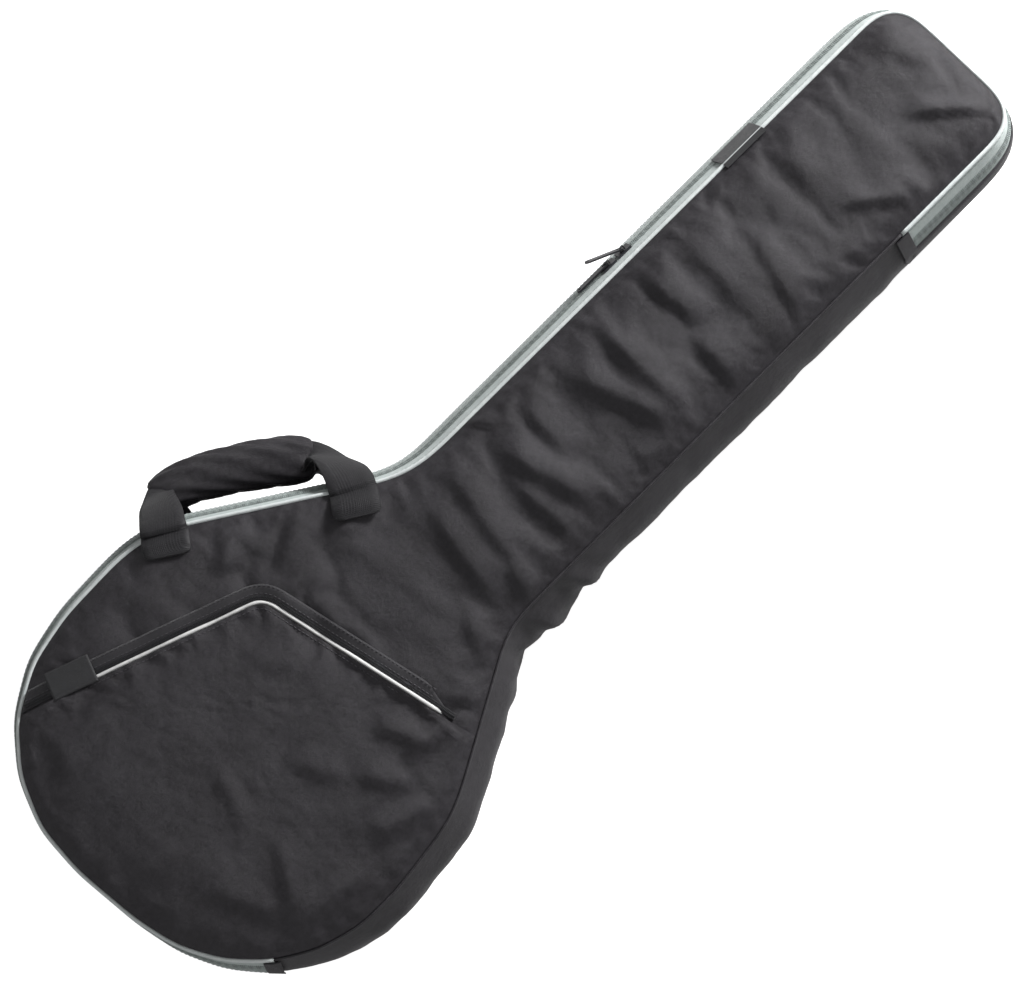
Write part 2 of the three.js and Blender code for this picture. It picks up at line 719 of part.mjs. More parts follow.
// One leg of webbing, from its stitched end on a panel to the flat fold beside the grip.
// Shares give how far out, down and along it is on its way off the seam.
const legOutShares = [0, 0.15, 0.35, 0.6, 0.82, 1];
const legDropShares = [0, 0.02, 0.2, 0.5, 0.85, 1];
const legShiftShares = [0, 0.2, 0.5, 0.85, 1, 1];
function webbingLeg(faceHeight, side, length, anchorX, foldX, webZ) {
  const lift = side * (seat * 2 + strapThickness / 2);
  const onPanel = [length, crownEdge].map((inset) => [-inset, faceHeight(inset) + lift, anchorX]);
  const seamZ = faceHeight(0) + lift;
  const offPanel = legOutShares.map((share, index) => [
    gripInner * share,
    seamZ + (webZ - seamZ) * legDropShares[index],
    anchorX + (foldX - anchorX) * legShiftShares[index],
  ]);
  const places = [...onPanel, ...offPanel, [gripOuter, webZ, foldX]];
  const rings = places.map(([out, z, x], index) => {
    const before = places[Math.max(index - 1, 0)];
    const after = places[Math.min(index + 1, places.length - 1)];
    const across = new THREE.Vector2(before[1] - after[1], after[0] - before[0]).normalize();
    const half = across.multiplyScalar(strapThickness / 2);
    const edge = strapWidth / 2;
    return [[-edge, 1], [edge, 1], [edge, -1], [-edge, -1]]
      .map(([shift, face]) => new THREE.Vector3(x + shift, out + half.x * face, z + half.y * face));
  });
  const square = [[-1, 1], [1, 1], [1, -1], [-1, -1]].map(([x, y]) => new THREE.Vector2(x, y));
  return loft(rings, square);
}

function handleStrap(faceHeight, side, length, webZ) {
  const middle = block(
    [gripStart - strapWidth - seat, gripInner, webZ - strapThickness / 2],
    [gripEnd + strapWidth + seat, gripOuter, webZ + strapThickness / 2],
  );
  const foldLeft = gripStart - seat - strapWidth / 2;
  const foldRight = gripEnd + seat + strapWidth / 2;
  const left = webbingLeg(faceHeight, side, length, anchorShift - anchorSpan / 2, foldLeft, webZ);
  const right = webbingLeg(faceHeight, side, length, anchorShift + anchorSpan / 2, foldRight, webZ);
  return join(middle, left, right);
}
add(handle, 'handle_strap_back', handleStrap(backFace, -1, backAnchorLength, backWebZ), webbing);
add(frontHandle, 'handle_strap_front', handleStrap(frontFace, 1, anchorLength, frontWebZ), webbing);

// Padded wrap round the front webbing: a trough with a flap hinged along its outer edge,
// closed by hook and loop tape on the inner edge.
const wrapInner = gripReach - gripWidth / 2;
const wrapOuter = gripReach + gripWidth / 2;
const trough = new THREE.Shape();
trough.moveTo(wrapInner, wrapTopZ);
trough.lineTo(wrapInner, gripLowZ + gripRound);
trough.absarc(wrapInner + gripRound, gripLowZ + gripRound, gripRound, Math.PI, Math.PI * 1.5, false);
trough.absarc(wrapOuter - gripRound, gripLowZ + gripRound, gripRound, Math.PI * 1.5, Math.PI * 2, false);
trough.lineTo(wrapOuter, wrapTopZ);
trough.lineTo(wrapOuter - gripWall, wrapTopZ);
trough.lineTo(wrapOuter - gripWall, gripFloorZ);
trough.lineTo(wrapInner + gripWall, gripFloorZ);
trough.lineTo(wrapInner + gripWall, wrapTopZ);
add(frontHandle, 'grip_wrap', carried(trough, gripStart, gripEnd), nylon);

const fastenerLow = [gripStart + gripWall, wrapInner + seat, wrapTopZ + seat];
const fastenerHigh = [gripEnd - gripWall, wrapInner + gripWall - seat, wrapTopZ + seat + hookTapeThickness];
add(frontHandle, 'grip_loop_tape', block(fastenerLow, fastenerHigh), webbing);
const gripFlap = new THREE.Group();
const hookTapeRise = hookTapeThickness + seat;
gripFlap.position.set(0, wrapOuter + seat, wrapTopZ + seat + hookTapeRise * 2);
frontHandle.add(gripFlap);
const toFlap = (geometry) => geometry.translate(0, -gripFlap.position.y, -gripFlap.position.z);
const hookTape = block(fastenerLow, fastenerHigh).translate(0, 0, hookTapeRise);
add(gripFlap, 'grip_hook_tape', toFlap(hookTape), webbing);
const flap = new THREE.Shape();
flap.moveTo(-seat, 0);
flap.absarc(-seat - gripRound, flapThickness - gripRound, gripRound, 0, Math.PI / 2, false);
flap.absarc(gripRound - gripWidth - seat, flapThickness - gripRound, gripRound, Math.PI / 2, Math.PI, false);
add(gripFlap, 'grip_flap', carried(flap, gripStart, gripEnd), nylon);

// Two shoulder straps lie flat under the back. Each group has X along its strap.
function beltShape(length, width, radius) {
  const shape = new THREE.Shape();
  shape.moveTo(length, width / 2 - radius);
  shape.absarc(length - radius, width / 2 - radius, radius, 0, Math.PI / 2, false);
  shape.absarc(radius, width / 2 - radius, radius, Math.PI / 2, Math.PI, false);
  shape.absarc(radius, radius - width / 2, radius, Math.PI, Math.PI * 1.5, false);
  shape.absarc(length - radius, radius - width / 2, radius, Math.PI * 1.5, Math.PI * 2, false);
  return shape;
}

// Heights of the buckle's frame and of the webbing above and below it.
const tapeHalf = webbingThickness / 2;
const underWebZ = webbingRest + tapeHalf;
const buckleLowZ = webbingRest + webbingThickness + seat;
const buckleHighZ = buckleLowZ + buckleThickness;
const overWebZ = buckleHighZ + seat + tapeHalf;
const anchorHighZ = backRest - seat;
const anchorLowZ = anchorHighZ - webbingThickness;
const anchoredWebZ = anchorLowZ - seat - tapeHalf;
const buckleSlot = (buckleLength - buckleBar * 4) / 3;
const bucklePitch = buckleBar + buckleSlot;
const buckleStart = padLength + buckleBar;
const slotWidth = webbingWidth + seat * 4;

// Webbing drawn as a line along the strap and up, with its width across.
const alongStrap = new THREE.Matrix4().makeBasis(
  new THREE.Vector3(1, 0, 0),
  new THREE.Vector3(0, 0, 1),
  new THREE.Vector3(0, -1, 0),
);
function webbingRun(places) {
  const line = thickLine(places.map(([x, z]) => new THREE.Vector2(x, z)), webbingThickness);
  const geometry = new THREE.ExtrudeGeometry(new THREE.Shape(line), { depth: webbingWidth, bevelEnabled: false });
  return geometry.translate(0, 0, -webbingWidth / 2).applyMatrix4(alongStrap);
}

function shoulderStrap(name, side) {
  const top = new THREE.Vector2(alongBag(strapTopX), side * strapTopY);
  const strapLength = buckleStart + buckleLength + strapRun;
  const strap = new THREE.Group();
  strap.position.set(top.x, top.y, 0);
  strap.rotation.z = Math.PI - side * Math.atan(strapSplayShare);
  bag.add(strap);

  const padShape = beltShape(padLength, padWidth, padRound);
  const pad = new THREE.ExtrudeGeometry(padShape, { depth: padThickness, bevelEnabled: false, curveSegments: 4 });
  add(strap, `${name}_strap_pad`, pad, nylon);

  const loopTurn = buckleStart + buckleBar + seat + tapeHalf;
  const loop = [[padLength + seat, overWebZ], [loopTurn, overWebZ], [loopTurn, underWebZ], [padLength + seat, underWebZ]];
  add(strap, `${name}_pad_loop`, webbingRun(loop), webbing);

  const rails = [-1, 1].map((edge) => {
    const [near, far] = [edge * slotWidth / 2, edge * buckleWidth / 2].sort((one, other) => one - other);
    return block([buckleStart, near, buckleLowZ], [buckleStart + buckleLength, far, buckleHighZ]);
  });
  const bars = [0, 1, 2, 3].map((bar) => {
    const from = buckleStart + bar * bucklePitch;
    return block([from, -buckleWidth / 2, buckleLowZ], [from + buckleBar, buckleWidth / 2, buckleHighZ]);
  });
  add(strap, `${name}_ladder_lock`, join(...rails, ...bars), blackPlastic);

  const thirdBar = buckleStart + bucklePitch * 2;
  const turnX = thirdBar - seat - tapeHalf;
  const anchorStart = strapLength - anchorPatchLength;
  const tailJoin = thirdBar + buckleBar;
  const held = [
    [strapLength, anchoredWebZ],
    [anchorStart - buckleBar, anchoredWebZ],
    [buckleStart + buckleLength, overWebZ],
    [turnX, overWebZ],
    [turnX, underWebZ],
    [tailJoin, underWebZ],
    [tailJoin + tailLength, underWebZ],
  ];
  add(strap, `${name}_strap_webbing`, webbingRun(held), webbing);

  const anchor = block(
    [anchorStart, -padWidth / 2, anchorLowZ],
    [strapLength + seat, padWidth / 2, anchorHighZ],
  );
  add(strap, `${name}_strap_anchor`, anchor, nylon);
}
shoulderStrap('handle_side', 1);
shoulderStrap('fold_side', -1);

// A zip slider: its group has X the way the puller lies, Y across the zip and Z out of it,
// with the zip's face at zero. The plates and lips run round the two coils, a bridge passes
// between them, and the puller hangs in a bail.
const slope = Math.cos(slopeAngle);
const coilEdge = (frontCoilTopZ - partingZ) / slope;
const plateLow = coilProud + seat;
const plateHigh = plateLow + sliderPlate;
const plateHalf = coilEdge + seat + sliderLip;
const lipLow = seat;
const innerHigh = -coilSink - seat;
const pullerZ = plateHigh + pullerPlay + pullerThickness / 2;
const bailLow = pullerZ + pullerThickness / 2 + pullerPlay;
const bailHigh = bailLow + sliderBridge;
const bailInner = pullerThickness + pullerPlay;
const bailOuter = bailInner + sliderBridge;

function sliderSolid(runsInside) {
  const half = sliderLength / 2;
  const plate = block([-half, -plateHalf, plateLow], [half, plateHalf, plateHigh]);
  const posts = [-1, 1].map((side) => {
    const middle = side * (bailInner + bailOuter) / 2;
    const thick = sliderBridge / 2;
    return block([middle - thick, -bailHalf, plateLow], [middle + thick, bailHalf, bailHigh]);
  });
  const bar = block([-bailOuter, -bailHalf, bailLow], [bailOuter, bailHalf, bailHigh]);
  const parts = [plate, ...posts, bar];
  if (runsInside) {
    parts.push(block([-half, -plateHalf, innerHigh - sliderPlate], [half, plateHalf, innerHigh]));
    parts.push(block([-sliderPlate, -sliderBridge / 2, innerHigh], [sliderPlate, sliderBridge / 2, plateLow]));
    for (const side of [-1, 1]) {
      const [near, far] = [side * plateHalf, side * (plateHalf - sliderLip)].sort((one, other) => one - other);
      parts.push(block([-half, near, lipLow], [half, far, plateLow]));
    }
  }
  return join(...parts);
}

// The puller: a bar in the bail, a window round the bail's post, and a flat tongue.
function pullerShape() {
  const half = pullerThickness / 2;
  const shape = new THREE.Shape();
  shape.moveTo(-half, -pullerWidth / 2);
  shape.lineTo(pullerLength - pullerWidth / 2, -pullerWidth / 2);
  shape.absarc(pullerLength - pullerWidth / 2, 0, pullerWidth / 2, -Math.PI / 2, Math.PI / 2, false);
  shape.lineTo(-half, pullerWidth / 2);
  const windowHalf = bailHalf + pullerPlay;
  shape.holes.push(new THREE.Path([
    new THREE.Vector2(half, -windowHalf),
    new THREE.Vector2(pullerWindow, -windowHalf),
    new THREE.Vector2(pullerWindow, windowHalf),
    new THREE.Vector2(half, windowHalf),
  ]));
  const eye = new THREE.Path();
  eye.absarc(pullerLength - pullerWidth / 2, 0, pullerEye, 0, Math.PI * 2, true);
  shape.holes.push(eye);
  return shape;
}

function addSlider(parent, names, frame, runsInside, liftShare) {
  const slider = new THREE.Group();
  slider.applyMatrix4(frame);
  parent.add(slider);
  add(slider, names.slider, sliderSolid(runsInside), blackMetal);
  const puller = new THREE.Group();
  puller.position.z = pullerZ;
  puller.rotation.y = -Math.atan(liftShare);
  slider.add(puller);
  const tongue = new THREE.ExtrudeGeometry(pullerShape(), {
    depth: pullerThickness,
    bevelEnabled: false,
    curveSegments: 6,
  });
  add(puller, names.puller, tongue.translate(0, 0, -pullerThickness / 2), blackMetal);
}

// The two sliders of the long zip stand together on the neck. The stiff puller of the one
// nearer the head stays lifted over the other.
const onZip = (x) => new THREE.Matrix4()
  .makeBasis(
    new THREE.Vector3(-1, 0, 0),
    new THREE.Vector3(0, -Math.sin(slopeAngle), slope),
    new THREE.Vector3(0, slope, Math.sin(slopeAngle)),
  )
  .setPosition(alongBag(x), neckHalf + wallReach(partingZ), partingZ);
const upperNames = { slider: 'upper_slider', puller: 'upper_puller' };
const lowerNames = { slider: 'lower_slider', puller: 'lower_puller' };
addSlider(bag, upperNames, onZip(sliderX + sliderPitch / 2), true, pullerLiftShare);
addSlider(bag, lowerNames, onZip(sliderX - sliderPitch / 2), true, 0);

// The pocket's slider stands on the right leg of the mouth, just outside the piping.
const rightLeg = mouth[2].clone().sub(mouth[1]).normalize();
const outOfPocket = new THREE.Vector2(-rightLeg.y, rightLeg.x);
const pocketSliderReach = pullerWidth / 2 + seat;
const pocketSliderPlace = mouth[2].clone()
  .addScaledVector(rightLeg, -pocketSliderRun)
  .addScaledVector(outOfPocket, pocketSliderReach);
const onPocketZip = new THREE.Matrix4()
  .makeBasis(
    new THREE.Vector3(-rightLeg.x, -rightLeg.y, 0),
    new THREE.Vector3(rightLeg.y, -rightLeg.x, 0),
    new THREE.Vector3(0, 0, 1),
  )
  .setPosition(pocketSliderPlace.x, pocketSliderPlace.y, frontTopZ + seat + pocketCoilHeight - coilProud);
addSlider(front, { slider: 'pocket_slider', puller: 'pocket_puller' }, onPocketZip, false, 0);

// The origin goes to the ground under the middle of the bag.
const bounds = new THREE.Box3().setFromObject(bag);
const middle = bounds.getCenter(new THREE.Vector3());
bag.position.set(-middle.x, -middle.y, -bounds.min.z);

export default bag;
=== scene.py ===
# Looks of a padded gig bag for a banjo, lying on its back with the front panel up.
# Everything is in metres in the frame's own axes: X to the head, Y to the handle, Z up.
import json
import math
import bmesh
import bpy
import numpy as np
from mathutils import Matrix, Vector, noise
from mathutils.bvhtree import BVHTree
from mathutils.geometry import delaunay_2d_cdt


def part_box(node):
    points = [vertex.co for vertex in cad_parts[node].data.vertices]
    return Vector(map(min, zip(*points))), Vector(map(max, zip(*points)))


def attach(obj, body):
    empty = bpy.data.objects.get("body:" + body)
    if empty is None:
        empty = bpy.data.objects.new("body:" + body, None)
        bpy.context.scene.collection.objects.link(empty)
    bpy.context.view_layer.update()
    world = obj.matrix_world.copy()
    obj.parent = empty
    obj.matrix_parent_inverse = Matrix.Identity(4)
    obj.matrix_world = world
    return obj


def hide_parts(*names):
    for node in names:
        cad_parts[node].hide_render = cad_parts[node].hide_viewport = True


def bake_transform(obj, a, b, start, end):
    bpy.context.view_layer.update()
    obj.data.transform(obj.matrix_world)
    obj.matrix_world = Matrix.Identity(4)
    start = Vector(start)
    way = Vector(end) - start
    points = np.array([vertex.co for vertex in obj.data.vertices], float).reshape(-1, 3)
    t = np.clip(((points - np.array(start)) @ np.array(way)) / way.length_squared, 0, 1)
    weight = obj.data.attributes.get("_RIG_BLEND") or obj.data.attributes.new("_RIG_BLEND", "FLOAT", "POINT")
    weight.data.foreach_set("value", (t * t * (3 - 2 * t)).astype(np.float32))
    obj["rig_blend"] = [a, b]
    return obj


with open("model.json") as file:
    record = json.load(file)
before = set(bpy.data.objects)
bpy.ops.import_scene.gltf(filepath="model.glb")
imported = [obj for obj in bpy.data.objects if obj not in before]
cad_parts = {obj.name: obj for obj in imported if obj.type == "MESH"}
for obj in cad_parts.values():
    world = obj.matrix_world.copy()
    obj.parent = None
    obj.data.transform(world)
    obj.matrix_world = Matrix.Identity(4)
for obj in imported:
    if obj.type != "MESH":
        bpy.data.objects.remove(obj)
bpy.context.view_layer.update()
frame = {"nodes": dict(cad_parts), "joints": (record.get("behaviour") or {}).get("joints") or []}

nodes = frame["nodes"]

# Sewn outline: the seam that both panels share in plan, read from the frame and smoothed,
# with the way out of the bag at each of its points and how far the walls bulge there.
SEAM_LOW = 0.015
SEAM_HIGH = 0.111
SEAM_STEP = 0.005


def loop_at(node, height):
    """The closed line where a node's mesh is at one height, in order."""
    mesh = nodes[node].data
    key = [tuple(round(value, 5) for value in vertex.co) for vertex in mesh.vertices]
    beside = {}
    for edge in mesh.edges:
        one, other = (key[index] for index in edge.vertices)
        if one != other and abs(one[2] - height) < 1e-4 and abs(other[2] - height) < 1e-4:
            beside.setdefault(one, set()).add(other)
            beside.setdefault(other, set()).add(one)
    loop = [min(beside)]
    while True:
        ahead = [point for point in beside[loop[-1]] if point not in loop[-2:]]
        if not ahead or ahead[0] == loop[0]:
            return np.array(loop)[:, :2]
        loop.append(ahead[0])


def run_along(line):
    """How far along a line each of its points is."""
    return np.concatenate([[0], np.cumsum(np.linalg.norm(np.diff(line, axis=0), axis=1))])


def resample(line, step, closed=True):
    """Points at even steps along a line, as close to the step as its length allows."""
    points = np.vstack([line, line[:1]]) if closed else np.asarray(line, float)
    run = run_along(points)
    count = max(int(round(run[-1] / step)), 2)
    places = np.linspace(0, run[-1], count + 1)
    if closed:
        places = places[:-1]
    return np.stack([np.interp(places, run, points[:, axis]) for axis in range(points.shape[1])], 1)


def soften(values, reach):
    """Values round a closed line, each averaged with those near it."""
    width = np.arange(-3 * reach, 3 * reach + 1)
    weights = np.exp(-(width / reach) ** 2 / 2)
    weights /= weights.sum()
    return sum(weight * np.roll(values, -shift, axis=0) for weight, shift in zip(weights, width))


def unit(vectors):
    """Rows of values, each as a direction of length one."""
    return vectors / np.linalg.norm(vectors, axis=-1, keepdims=True)


seam = loop_at("back_shell", SEAM_LOW)
if np.sum(seam[:, 0] * np.roll(seam[:, 1], -1) - np.roll(seam[:, 0], -1) * seam[:, 1]) < 0:
    seam = seam[::-1]
seam = resample(soften(resample(seam, SEAM_STEP), 2), SEAM_STEP)
along = unit(np.roll(seam, -1, axis=0) - np.roll(seam, 1, axis=0))
outward = np.stack([along[:, 1], -along[:, 0]], 1)


def outer_reach(names, height):
    """How far the CAD walls stand out from the seam at one height, all round."""
    corners, faces = [], []
    for name in names:
        mesh = nodes[name].data
        start = len(corners)
        corners += [vertex.co.copy() for vertex in mesh.vertices]
        faces += [[start + index for index in polygon.vertices] for polygon in mesh.polygons]
    tree = BVHTree.FromPolygons(corners, faces)
    reaches = np.full(len(seam), np.nan)
    for index, ((x, y), (nx, ny)) in enumerate(zip(seam, outward)):
        hit = tree.ray_cast(Vector((x + nx * 0.06, y + ny * 0.06, height)), Vector((-nx, -ny, 0)), 0.06)
        if hit[0]:
            reaches[index] = 0.06 - hit[3]
    known = np.flatnonzero(~np.isnan(reaches))
    return np.interp(np.arange(len(seam)), known, reaches[known], period=len(seam))


bulge = soften(outer_reach(["gusset_shell", "wall_shell"], 0.063), 4)


def wall_share(height):
    """Share of the full bulge at a height, straight near the seams and round between."""
    place = (np.asarray(height) - SEAM_LOW) / (SEAM_HIGH - SEAM_LOW)
    slope = np.minimum(3.04 * place, 3.04 * (1 - place))
    return np.where(np.abs(place - 0.5) > 0.25, slope, 1 - 0.24 * np.abs(4 * place - 2) ** 3.17)


def station_near(point):
    """Index of the seam's point nearest to a place in plan."""
    return int(np.argmin(np.linalg.norm(seam - np.asarray(point)[:2], axis=1)))


def stations_between(first, last):
    """Indices along the seam from one station round to another."""
    return np.arange(first, last + 1 if last > first else last + len(seam) + 1) % len(seam)


hinge = {joint["name"]: joint for joint in frame["joints"]}
fold_from = np.array(hinge["front_hinge"]["pos_m"])
fold_along = np.array(hinge["front_hinge"]["axis"])
fold_across = np.array([-fold_along[1], fold_along[0], 0])
FOLD_START = -0.016
FOLD_END = 0.010
zip_bottom = station_near((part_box("zip_tab_bottom")[0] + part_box("zip_tab_bottom")[1]) / 2)
zip_head = station_near((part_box("zip_tab_head")[0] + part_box("zip_tab_head")[1]) / 2)


def fit(piece, body, slot, *stands_for):
    """Says what a piece moves with and the nodes that it stands for; its slot is not used. What is
    sewn to the front panel bends with it over the fold."""
    if body == "folding front":
        start = fold_from + FOLD_START * fold_across
        end = fold_from + FOLD_END * fold_across
        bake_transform(piece, "case_body", "front_panel", start, end)
    else:
        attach(piece, body)
    if stands_for:
        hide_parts(*stands_for)


# Back panel: the flat side that the case lies on, black polyester oxford quilted with foam
# and lining, cut as one sheet and sewn down to a thin edge all round.
def add_node(material, kind, **settings):
    """Adds a shader node; settings are its properties or its sockets by name."""
    node = material.node_tree.nodes.new(kind)
    for name, value in settings.items():
        if hasattr(node, name):
            setattr(node, name, value)
        else:
            node.inputs[name.replace("_", " ")].default_value = value
    return node


def wire(owner, *links):
    """Joins shader nodes: each link is a node, its output, another node and its input."""
    for source, output, target, socket in links:
        owner.node_tree.links.new(source.outputs[output], target.inputs[socket])


def bare_material(name):
    """A new material and its surface shader."""
    material = bpy.data.materials.new(name)
    material.use_nodes = True
    return material, material.node_tree.nodes["Principled BSDF"]


def linear(code):
    """A colour written as sRGB hex, as the linear values that a shader takes."""
    parts = [int(code[index:index + 2], 16) / 255 for index in (1, 3, 5)]
    return [part / 12.92 if part < 0.04045 else ((part + 0.055) / 1.055) ** 2.4 for part in parts] + [1]


def cloth_material(name, dark, light, pitch, depth, cloud=0.006, sheen=0.25, rough=0.78, crumple=0.0,
                   gloss=0.3):
    """Woven cloth: threads at their real pitch, uneven dye and dusty high spots."""
    material, shader = bare_material(name)
    place = add_node(material, "ShaderNodeUVMap", uv_map="Flat")
    fine = add_node(material, "ShaderNodeTexNoise", Scale=1 / cloud, Detail=6.0, Roughness=0.62)
    wide = add_node(material, "ShaderNodeTexNoise", Scale=1 / (cloud * 12), Detail=3.0)
    mottle = add_node(material, "ShaderNodeMix", Factor=0.4)
    spread = add_node(material, "ShaderNodeMapRange", From_Min=0.35, From_Max=0.65)
    colour = add_node(material, "ShaderNodeMix", data_type="RGBA")
    colour.inputs["A"].default_value = linear(dark)
    colour.inputs["B"].default_value = linear(light)
    weave = add_node(material, "ShaderNodeMath", operation="MAXIMUM")
    for socket, direction in enumerate("XY"):
        wave = add_node(material, "ShaderNodeTexWave", bands_direction=direction, Scale=math.pi / 10 / pitch,
                        Distortion=0.6, Detail=1.0)
        wire(material, (place, "UV", wave, "Vector"), (wave, "Fac", weave, socket))
    threads = add_node(material, "ShaderNodeMix", data_type="RGBA", blend_type="MULTIPLY", Factor=0.5)
    raised = add_node(material, "ShaderNodeBump", Distance=depth, Strength=0.9)
    uneven = add_node(material, "ShaderNodeBump", Distance=0.0006, Strength=0.8)
    worn = add_node(material, "ShaderNodeMapRange", To_Min=rough - 0.1, To_Max=min(rough + 0.12, 1))
    wire(material, (place, "UV", fine, "Vector"), (fine, "Fac", mottle, "A"), (place, "UV", wide, "Vector"),
         (wide, "Fac", mottle, "B"), (mottle, "Result", spread, "Value"),
         (spread, "Result", colour, "Factor"), (colour, "Result", threads, "A"), (weave, "Value", threads, "B"),
         (threads, "Result", shader, "Base Color"), (weave, "Value", raised, "Height"),
         (fine, "Fac", uneven, "Height"), (raised, "Normal", uneven, "Normal"),
         (uneven, "Normal", shader, "Normal"), (fine, "Fac", worn, "Value"),
         (worn, "Result", shader, "Roughness"))
    if crumple:
        ridges = add_node(material, "ShaderNodeTexNoise", noise_type="RIDGED_MULTIFRACTAL", Scale=16.0,
                          Detail=4.0, Distortion=0.6)
        creased = add_node(material, "ShaderNodeBump", Distance=crumple, Strength=1.0)
        wire(material, (place, "UV", ridges, "Vector"), (ridges, "Fac", creased, "Height"),
             (uneven, "Normal", creased, "Normal"), (creased, "Normal", shader, "Normal"))
    shader.inputs["Specular IOR Level"].default_value = gloss
    shader.inputs["Sheen Weight"].default_value = sheen
    shader.inputs["Sheen Roughness"].default_value = 0.45
    return material


oxford = cloth_material("polyester_oxford", "#19161a", "#2f2d31", 0.0007, 0.0002, sheen=0.06, rough=0.46,
                        crumple=0.0018, gloss=0.19)
lining = cloth_material("nylon_taffeta_lining", "#26262a", "#323237", 0.0004, 0.00005, rough=0.6, sheen=0.1)


def placed(name, data):
    """A new object in the scene."""
    piece = bpy.data.objects.new(name, data)
    bpy.context.scene.collection.objects.link(piece)
    return piece


def build(name, points, faces, flat, materials, face_material=None, smooth=True):
    """A mesh object from points, faces and the flat place of each point in metres."""
    mesh = bpy.data.meshes.new(name)
    mesh.from_pydata([tuple(point) for point in points], [], [tuple(face) for face in faces])
    for material in materials:
        mesh.materials.append(material)
    if face_material is not None:
        mesh.polygons.foreach_set("material_index", np.asarray(face_material, np.int32))
    mesh.polygons.foreach_set("use_smooth", np.full(len(mesh.polygons), smooth))
    layer = mesh.uv_layers.new(name="Flat")
    corner = np.empty(len(mesh.loops), np.int32)
    mesh.loops.foreach_get("vertex_index", corner)
    layer.data.foreach_set("uv", np.asarray(flat, np.float32)[corner].ravel())
    shape = bmesh.new()
    shape.from_mesh(mesh)
    bmesh.ops.recalc_face_normals(shape, faces=shape.faces)
    shape.to_mesh(mesh)
    return placed(name, mesh)


def distance_to(line, points):
    """How far each point is from a closed line, in plan."""
    best = np.full(len(points), 9.0)
    for (x, y), (dx, dy) in zip(line, np.roll(line, -1, axis=0) - line):
        place = ((points[:, 0] - x) * dx + (points[:, 1] - y) * dy) / (dx * dx + dy * dy + 1e-18)
        place = np.clip(place, 0, 1)
        best = np.minimum(best, np.hypot(points[:, 0] - x - place * dx, points[:, 1] - y - place * dy))
    return best


def inside(line, points):
    """Whether each point is within a closed line, in plan."""
    crossed = np.zeros(len(points), int)
    for (x, y), (far_x, far_y) in zip(line, np.roll(line, -1, axis=0)):
        passes = (points[:, 1] < y) != (points[:, 1] < far_y)
        crossed += passes & (points[:, 0] < x + (points[:, 1] - y) * (far_x - x) / (far_y - y + 1e-15))
    return crossed % 2 == 1


def sheet_plan(edge, step, rows=(0.0015, 0.0035, 0.006, 0.0095), creases=()):
    """Points and triangles that fill a closed line, in rows near it and a grid within. No
    triangle crosses a crease, a straight line given by its two ends."""
    side = np.roll(edge, -1, axis=0) - np.roll(edge, 1, axis=0)
    side = np.stack([-side[:, 1], side[:, 0]], 1) / np.linalg.norm(side, axis=1)[:, None]
    if np.sum(edge[:, 0] * np.roll(edge[:, 1], -1) - np.roll(edge[:, 0], -1) * edge[:, 1]) < 0:
        side = -side
    rings = []
    for row in rows:
        ring = edge + row * side
        rings.append(ring[(distance_to(edge, ring) > 0.95 * row) & inside(edge, ring)])
    across, up = (np.arange(edge[:, axis].min(), edge[:, axis].max(), step) for axis in (0, 1))
    grid = np.array([(x + step / 2 * (row % 2), y) for row, y in enumerate(up) for x in across])
    grid = grid[inside(edge, grid)]
    grid = grid[distance_to(edge, grid) > rows[-1] + step / 2]
    border = [(index, (index + 1) % len(edge)) for index in range(len(edge))]
    known = edge
    for crease in creases:
        chain = resample(np.array(crease), step, closed=False)
        chain = chain[inside(edge, chain) & (distance_to(edge, chain) > step / 3)]
        border += [(len(known) + index, len(known) + index + 1) for index in range(len(chain) - 1)]
        known = np.vstack([known, chain])
        grid = grid[[np.min(np.hypot(*(chain - point).T)) > 0.6 * step for point in grid]]
    points = [Vector(point) for point in np.vstack([known] + rings + [grid])]
    plan, _, faces, *_ = delaunay_2d_cdt(points, border, [], 1, 1e-6)
    return np.array([tuple(point) for point in plan]), np.array(faces)


PANEL_RISE = 0.0087


def crown(inset):
    """Share of a panel's rise at a distance in from its seam."""
    return 1 - np.exp(-inset / 0.011)


def layers(inset):
    """Thickness of shell, foam and lining, pinched where they are sewn."""
    return 0.003 + 0.0087 * (1 - np.exp(-inset / 0.006))


def closed_sheet(name, plan, faces, face_z, back_z, materials):
    """A closed piece of cloth between two heights over one plan."""
    count = len(plan)
    points = np.vstack([np.column_stack([plan, face_z]), np.column_stack([plan, back_z])])
    sides = np.vstack([faces[:, [0, 1]], faces[:, [1, 2]], faces[:, [2, 0]]])
    known = {tuple(side) for side in sides}
    rim = [(one, other) for one, other in known if (other, one) not in known]
    walls = [(other, one, one + count, other + count) for one, other in rim]
    every = [tuple(face) for face in faces] + [tuple(face[::-1] + count) for face in faces] + walls
    finish = [0] * len(faces) + [1] * len(faces) + [0] * len(walls)
    return build(name, points, every, np.vstack([plan, plan]), materials, finish)


panel_plan, panel_faces = sheet_plan(seam, 0.005)
panel_inset = distance_to(seam, panel_plan)
back_z = SEAM_LOW - PANEL_RISE * crown(panel_inset)
back_panel = closed_sheet("back_panel", panel_plan, panel_faces, back_z, back_z + layers(panel_inset),
                          [oxford, lining])
fit(back_panel, "case_body", "nylon", "back_shell", "back_foam", "back_lining")


